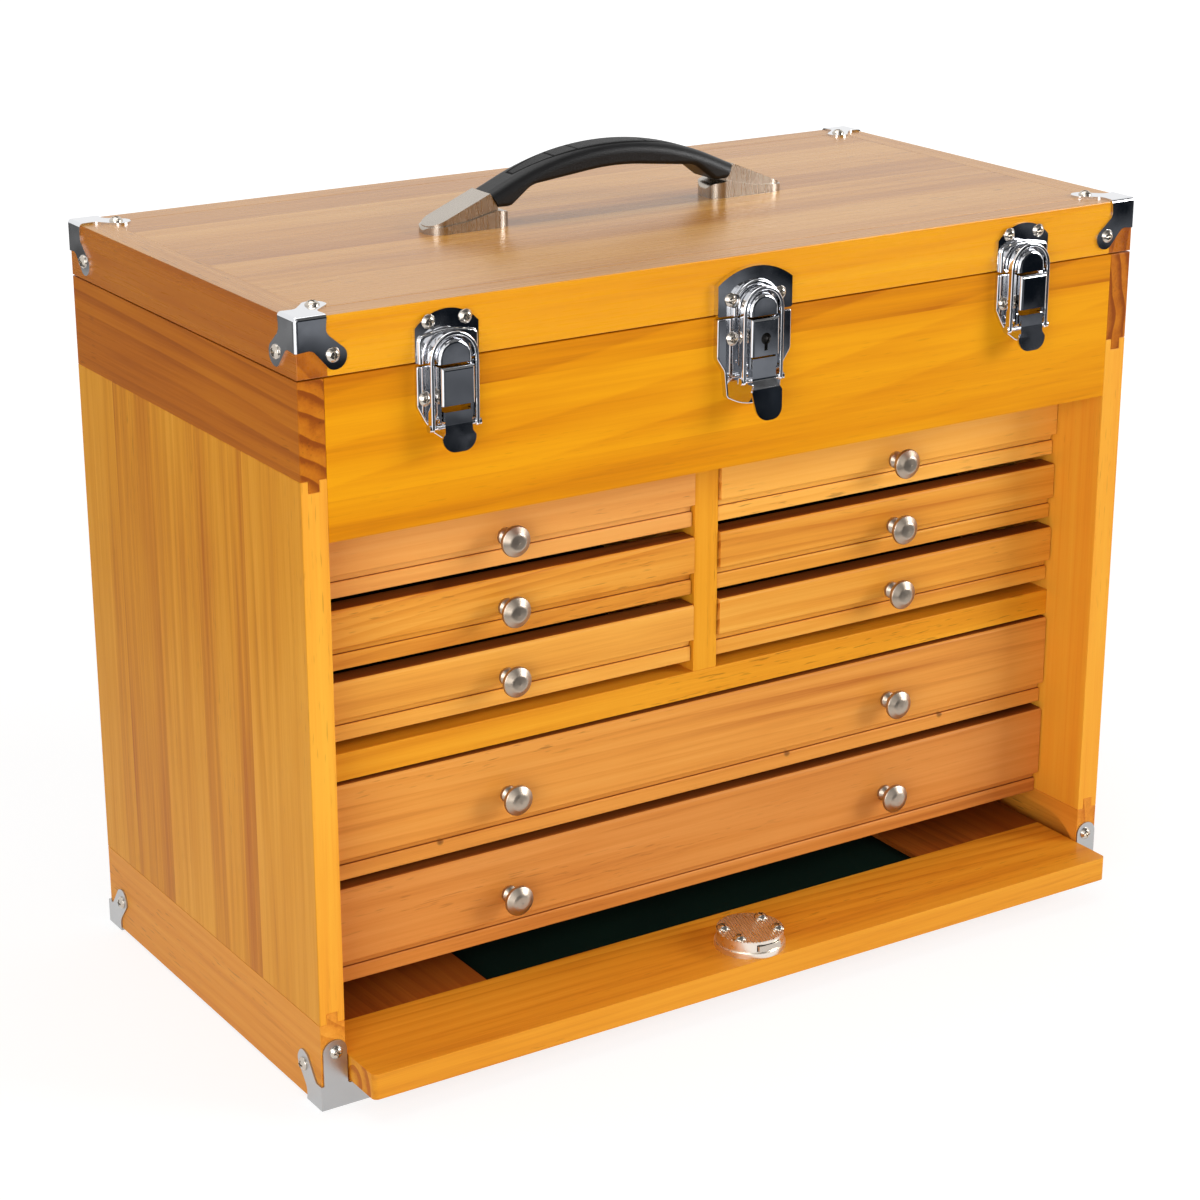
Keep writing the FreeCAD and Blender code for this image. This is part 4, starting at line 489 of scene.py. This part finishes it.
def baize(name):
    """Very dark green felt with a short nap."""
    tree = Tree(name)
    nap = tree.noise(tree.position(), 1800, 3, 0.7)
    drift = tree.noise(tree.position(), 25, 2)
    level = tree.math("ADD", tree.math("MULTIPLY", nap, 0.7), tree.math("MULTIPLY", drift, 0.3))
    colour = tree.ramp(level, [(0.3, srgb(3, 16, 11)), (0.7, srgb(10, 34, 24))])
    tree.bumped(nap, 0.5, 0.5 * MM)
    return tree.finish(Base_Color=colour, Roughness=1, Specular_IOR_Level=0.08)


def dress(name, material):
    mesh = nodes[name].data
    mesh.materials.clear()
    mesh.materials.append(material)


def dress_all():
    for name, material in wooden_materials().items():
        dress(name, material)
    mirror = chrome()
    nickel = brushed("satin_nickel", srgb(186, 172, 156), 0.36)
    steel = brushed("screw_steel", srgb(205, 196, 184), 0.2)
    zinc = brushed("bracket_steel", srgb(190, 190, 190), 0.3, (60, 60, 900))
    for name in ("latch_bases", "latch_keepers", "lid_corner_caps"):
        dress(name, mirror)
    for side in ("left", "centre", "right"):
        dress(f"{side}_latch_lever", mirror)
        dress(f"{side}_latch_bail", mirror)
    for number in range(1, 9):
        dress(f"drawer_{number}_knob", nickel)
    dress("handle_caps", brushed("cap_nickel", srgb(190, 181, 170), 0.28))
    dress("base_brackets", zinc)
    for name in ("case_screws", "lid_screws", "flap_lock_screws", "case_hinge_leaves",
                 "lid_hinge_leaves", "flap_pins", "flap_lock_bolt"):
        dress(name, steel)
    dress("lock_cam", brushed("dark_steel", srgb(58, 56, 54), 0.4))
    dress("flap_lock_case", ribbed_metal())
    dress("handle_grip", black_grip())


def soften(name, width):
    """Eases the sharp edges of a wooden node."""
    weld = nodes[name].modifiers.new("weld", "WELD")
    weld.merge_threshold = 0.01 * MM
    bevel = nodes[name].modifiers.new("ease", "BEVEL")
    bevel.width = width
    bevel.segments = 2
    bevel.limit_method = "ANGLE"
    bevel.angle_limit = math.radians(40)


def soften_woods():
    for name in ("side_panels", "side_top_battens", "side_bottom_battens", "till_front_board",
                 "mid_rails", "centre_divider", "flap_frame", "flap_panel", "lid_rails"):
        soften(name, 0.5 * MM)
    soften("lid_panel", 0.15 * MM)


# Cloth skins, laid flat

# Size of a cell of a sheet's mesh
FELT_CELL = 12 * MM

# A lining's thickness, its lift off the board under it and its play at each edge
LINING_THICK = 0.8 * MM
LINING_LIFT = 0.05 * MM
LINING_PLAY = 0.5 * MM

# Thickness of a drawer box's sides and back, and the height of its bottom's upper face over its foot
DRAWER_WALL = 8 * MM
DRAWER_FLOOR = 7 * MM


def felt(name, low, high, thick, body, material):
    """A thin sheet of felt between two corners, slightly uneven, with rounded edges."""
    steps_x = max(6, int((high[0] - low[0]) / FELT_CELL))
    steps_y = max(6, int((high[1] - low[1]) / FELT_CELL))
    made = bmesh.new()
    rows = []
    for j in range(steps_y + 1):
        v = j / steps_y
        row = []
        for i in range(steps_x + 1):
            u = i / steps_x
            x = low[0] + u * (high[0] - low[0])
            y = low[1] + v * (high[1] - low[1])
            wave = 0.5 + 0.25 * math.sin(61 * x + 2) + 0.25 * math.sin(47 * y + 31 * x)
            row.append(made.verts.new((x, y, low[2] + 0.08 * thick * wave)))
        rows.append(row)
    for j in range(steps_y):
        for i in range(steps_x):
            made.faces.new((rows[j][i], rows[j][i + 1], rows[j + 1][i + 1], rows[j + 1][i]))
    mesh = bpy.data.meshes.new(name)
    made.to_mesh(mesh)
    made.free()
    for polygon in mesh.polygons:
        polygon.use_smooth = True
    mesh.materials.append(material)
    piece = bpy.data.objects.new(name, mesh)
    bpy.context.scene.collection.objects.link(piece)
    solid = piece.modifiers.new("thickness", "SOLIDIFY")
    solid.thickness = 0.9 * thick
    solid.offset = 1
    edge = piece.modifiers.new("edge", "BEVEL")
    edge.width = 0.3 * thick
    edge.segments = 2
    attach(piece, body)
    return piece


def add_felts():
    cloth = baize("baize")
    low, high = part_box("flap_baize")
    skin = felt("flap_cloth", low, high, high[2] - low[2], "flap", cloth)
    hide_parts("flap_baize")
    for number in range(1, 9):
        low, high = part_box(f"drawer_{number}_box")
        left = low[0] + DRAWER_WALL + LINING_PLAY
        right = high[0] - DRAWER_WALL - LINING_PLAY
        back = high[1] - DRAWER_WALL - LINING_PLAY
        floor = low[2] + DRAWER_FLOOR + LINING_LIFT
        felt(f"drawer_{number}_lining", (left, low[1] + LINING_PLAY, floor), (right, back, floor),
             LINING_THICK, f"drawer_{number}", cloth)
    low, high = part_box("till_front_board")
    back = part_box("back_panel")[0][1] - LINING_PLAY
    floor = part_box("till_floor")[1][2] + LINING_LIFT
    felt("till_lining", (low[0] + LINING_PLAY, high[1] + LINING_PLAY, floor),
         (high[0] - LINING_PLAY, back, floor), LINING_THICK, "case", cloth)


# Camera: above the chest and to its left, with a long lens. Degrees, and millimetres for the lens

CAMERA_PLACE = (-0.8361, -1.2796, 0.7275)
CAMERA_DOWN = 19.407
CAMERA_TURN = -32.728
CAMERA_LENS = 86.417


def add_camera():
    data = bpy.data.cameras.new("camera")
    data.sensor_width = 36
    data.lens = CAMERA_LENS
    camera = bpy.data.objects.new("camera", data)
    camera.location = CAMERA_PLACE
    camera.rotation_euler = (math.radians(90 - CAMERA_DOWN), 0, math.radians(CAMERA_TURN))
    bpy.context.scene.collection.objects.link(camera)
    bpy.context.scene.camera = camera


# Floor, reflection cards, lamps and world

# The floor's own light near the chest, from where it rises to white, and over what distance
NEAR_GLOW = 0.78
GLOW_RISES_AT = 0.7
GLOW_RISES_OVER = 1.5


def four_sided(name, corners, material):
    """A flat piece of the studio between four corners."""
    mesh = bpy.data.meshes.new(name)
    mesh.from_pydata(corners, [], [(0, 1, 2, 3)])
    mesh.materials.append(material)
    piece = bpy.data.objects.new(name, mesh)
    bpy.context.scene.collection.objects.link(piece)
    return piece


def lying(low, high, z):
    return [(low[0], low[1], z), (high[0], low[1], z), (high[0], high[1], z), (low[0], high[1], z)]


def standing(start, end, low, high):
    return [(*start, low), (*end, low), (*end, high), (*start, high)]


def floor_material():
    """Pale for lamplight, and white to the camera and in reflections except where it is shaded."""
    tree = Tree("floor")
    path = tree.nodes.new("ShaderNodeLightPath")
    lit = tree.add("ShaderNodeBsdfDiffuse", {"Color": srgb(225, 225, 225)})
    seen_lit = tree.add("ShaderNodeBsdfDiffuse", {"Color": srgb(150, 150, 150)})
    away = tree.add("ShaderNodeVectorMath", {0: tree.position()}, 1, operation="LENGTH")
    far = tree.math("DIVIDE", tree.math("SUBTRACT", away, GLOW_RISES_AT), GLOW_RISES_OVER, clamp=True)
    level = tree.math("ADD", tree.math("MULTIPLY", far, 1 - NEAR_GLOW), NEAR_GLOW)
    glow = tree.add("ShaderNodeEmission", {"Color": (1, 1, 1, 1), "Strength": level})
    seen = tree.add("ShaderNodeAddShader", {0: seen_lit, 1: glow})
    seen_rays = tree.math("MAXIMUM", path.outputs["Is Camera Ray"], path.outputs["Is Glossy Ray"])
    both = tree.add("ShaderNodeMixShader", {0: seen_rays, 1: lit, 2: seen})
    tree.links.new(both, tree.nodes["Material Output"].inputs["Surface"])
    return tree.material


def reflection_card(name, corners, dark, light, patches=(5, 5, 5)):
    """A card out of view, seen only in reflections, as in a photo studio, and unevenly lit."""
    tree = Tree(name)
    uneven = tree.noise(tree.mapped(tree.position(), scale=patches), 1, 0)
    colour = tree.ramp(uneven, [(0.42, dark), (0.7, light)])
    glow = tree.add("ShaderNodeEmission", {"Color": colour, "Strength": 1})
    tree.links.new(glow, tree.nodes["Material Output"].inputs["Surface"])
    card = four_sided(name, corners, tree.material)
    card.visible_camera = False
    card.visible_diffuse = False
    card.visible_transmission = False
    card.visible_shadow = False


def add_stage():
    four_sided("floor", lying((-8, -8), (8, 8), 0), floor_material())
    night = (0.004, 0.006, 0.009, 1)
    dusk = (0.03, 0.036, 0.045, 1)
    twilight = (0.2, 0.21, 0.23, 1)
    reflection_card("dark_card_front", lying((-0.9, -5), (5, -0.45), 3 * MM), night, twilight, (7, 4, 1))
    reflection_card("dark_card_standing", standing((-0.6, -3), (5, -3), 0, 1.3), night, dusk)
    reflection_card("grey_card_above", standing((0.3, -3), (4, -3), 1.3, 2.8), 0.03, 0.3)
    reflection_card("grey_card_overhead", lying((-1.5, -3.5), (4, 0), 3), 0.03, 0.4)
    reflection_card("grey_card_aside", standing((-3.4, -1.9), (-1.3, -3), 0, 1.4), 0.1, 0.5)
    reflection_card("grey_card_left", lying((-5, 0.1), (-0.45, 4), 3 * MM), 0.08, 0.34)


def add_light(name, place, target, size, power):
    data = bpy.data.lights.new(name, "AREA")
    data.shape = "RECTANGLE"
    data.size, data.size_y = size
    data.energy = power
    lamp = bpy.data.objects.new(name, data)
    lamp.location = place
    lamp.rotation_euler = (Vector(target) - Vector(place)).to_track_quat("-Z", "Y").to_euler()
    bpy.context.scene.collection.objects.link(lamp)


def add_lights():
    add_light("key", (3.0, -2.3, 1.4), (0, 0, 0.2), (1.6, 1.6), 89)
    add_light("left", (-1.8, -1.6, 0.7), (0, 0, 0.2), (1.2, 1.3), 27)
    add_light("top", (-0.2, 0.3, 2.3), (0, 0, 0.3), (1.6, 1.6), 15)


# The white world's strength as a lamp. To the camera and in reflections it is 1
WORLD_LIGHT = 0.36


def add_world():
    world = bpy.data.worlds.new("world")
    bpy.context.scene.world = world
    world.use_nodes = True
    tree = world.node_tree
    path = tree.nodes.new("ShaderNodeLightPath")
    seen = None
    for ray in ("Is Camera Ray", "Is Glossy Ray", "Is Transmission Ray"):
        if seen is None:
            seen = path.outputs[ray]
            continue
        either = tree.nodes.new("ShaderNodeMath")
        either.operation = "MAXIMUM"
        tree.links.new(seen, either.inputs[0])
        tree.links.new(path.outputs[ray], either.inputs[1])
        seen = either.outputs[0]
    strength = tree.nodes.new("ShaderNodeMapRange")
    strength.inputs["To Min"].default_value = WORLD_LIGHT
    strength.inputs["To Max"].default_value = 1
    tree.links.new(seen, strength.inputs["Value"])
    background = tree.nodes["Background"]
    background.inputs["Color"].default_value = (1, 1, 1, 1)
    tree.links.new(strength.outputs[0], background.inputs["Strength"])


bpy.context.scene.view_settings.view_transform = "Standard"
add_camera()
add_stage()
add_lights()
add_world()
dress_all()
soften_woods()
add_felts()
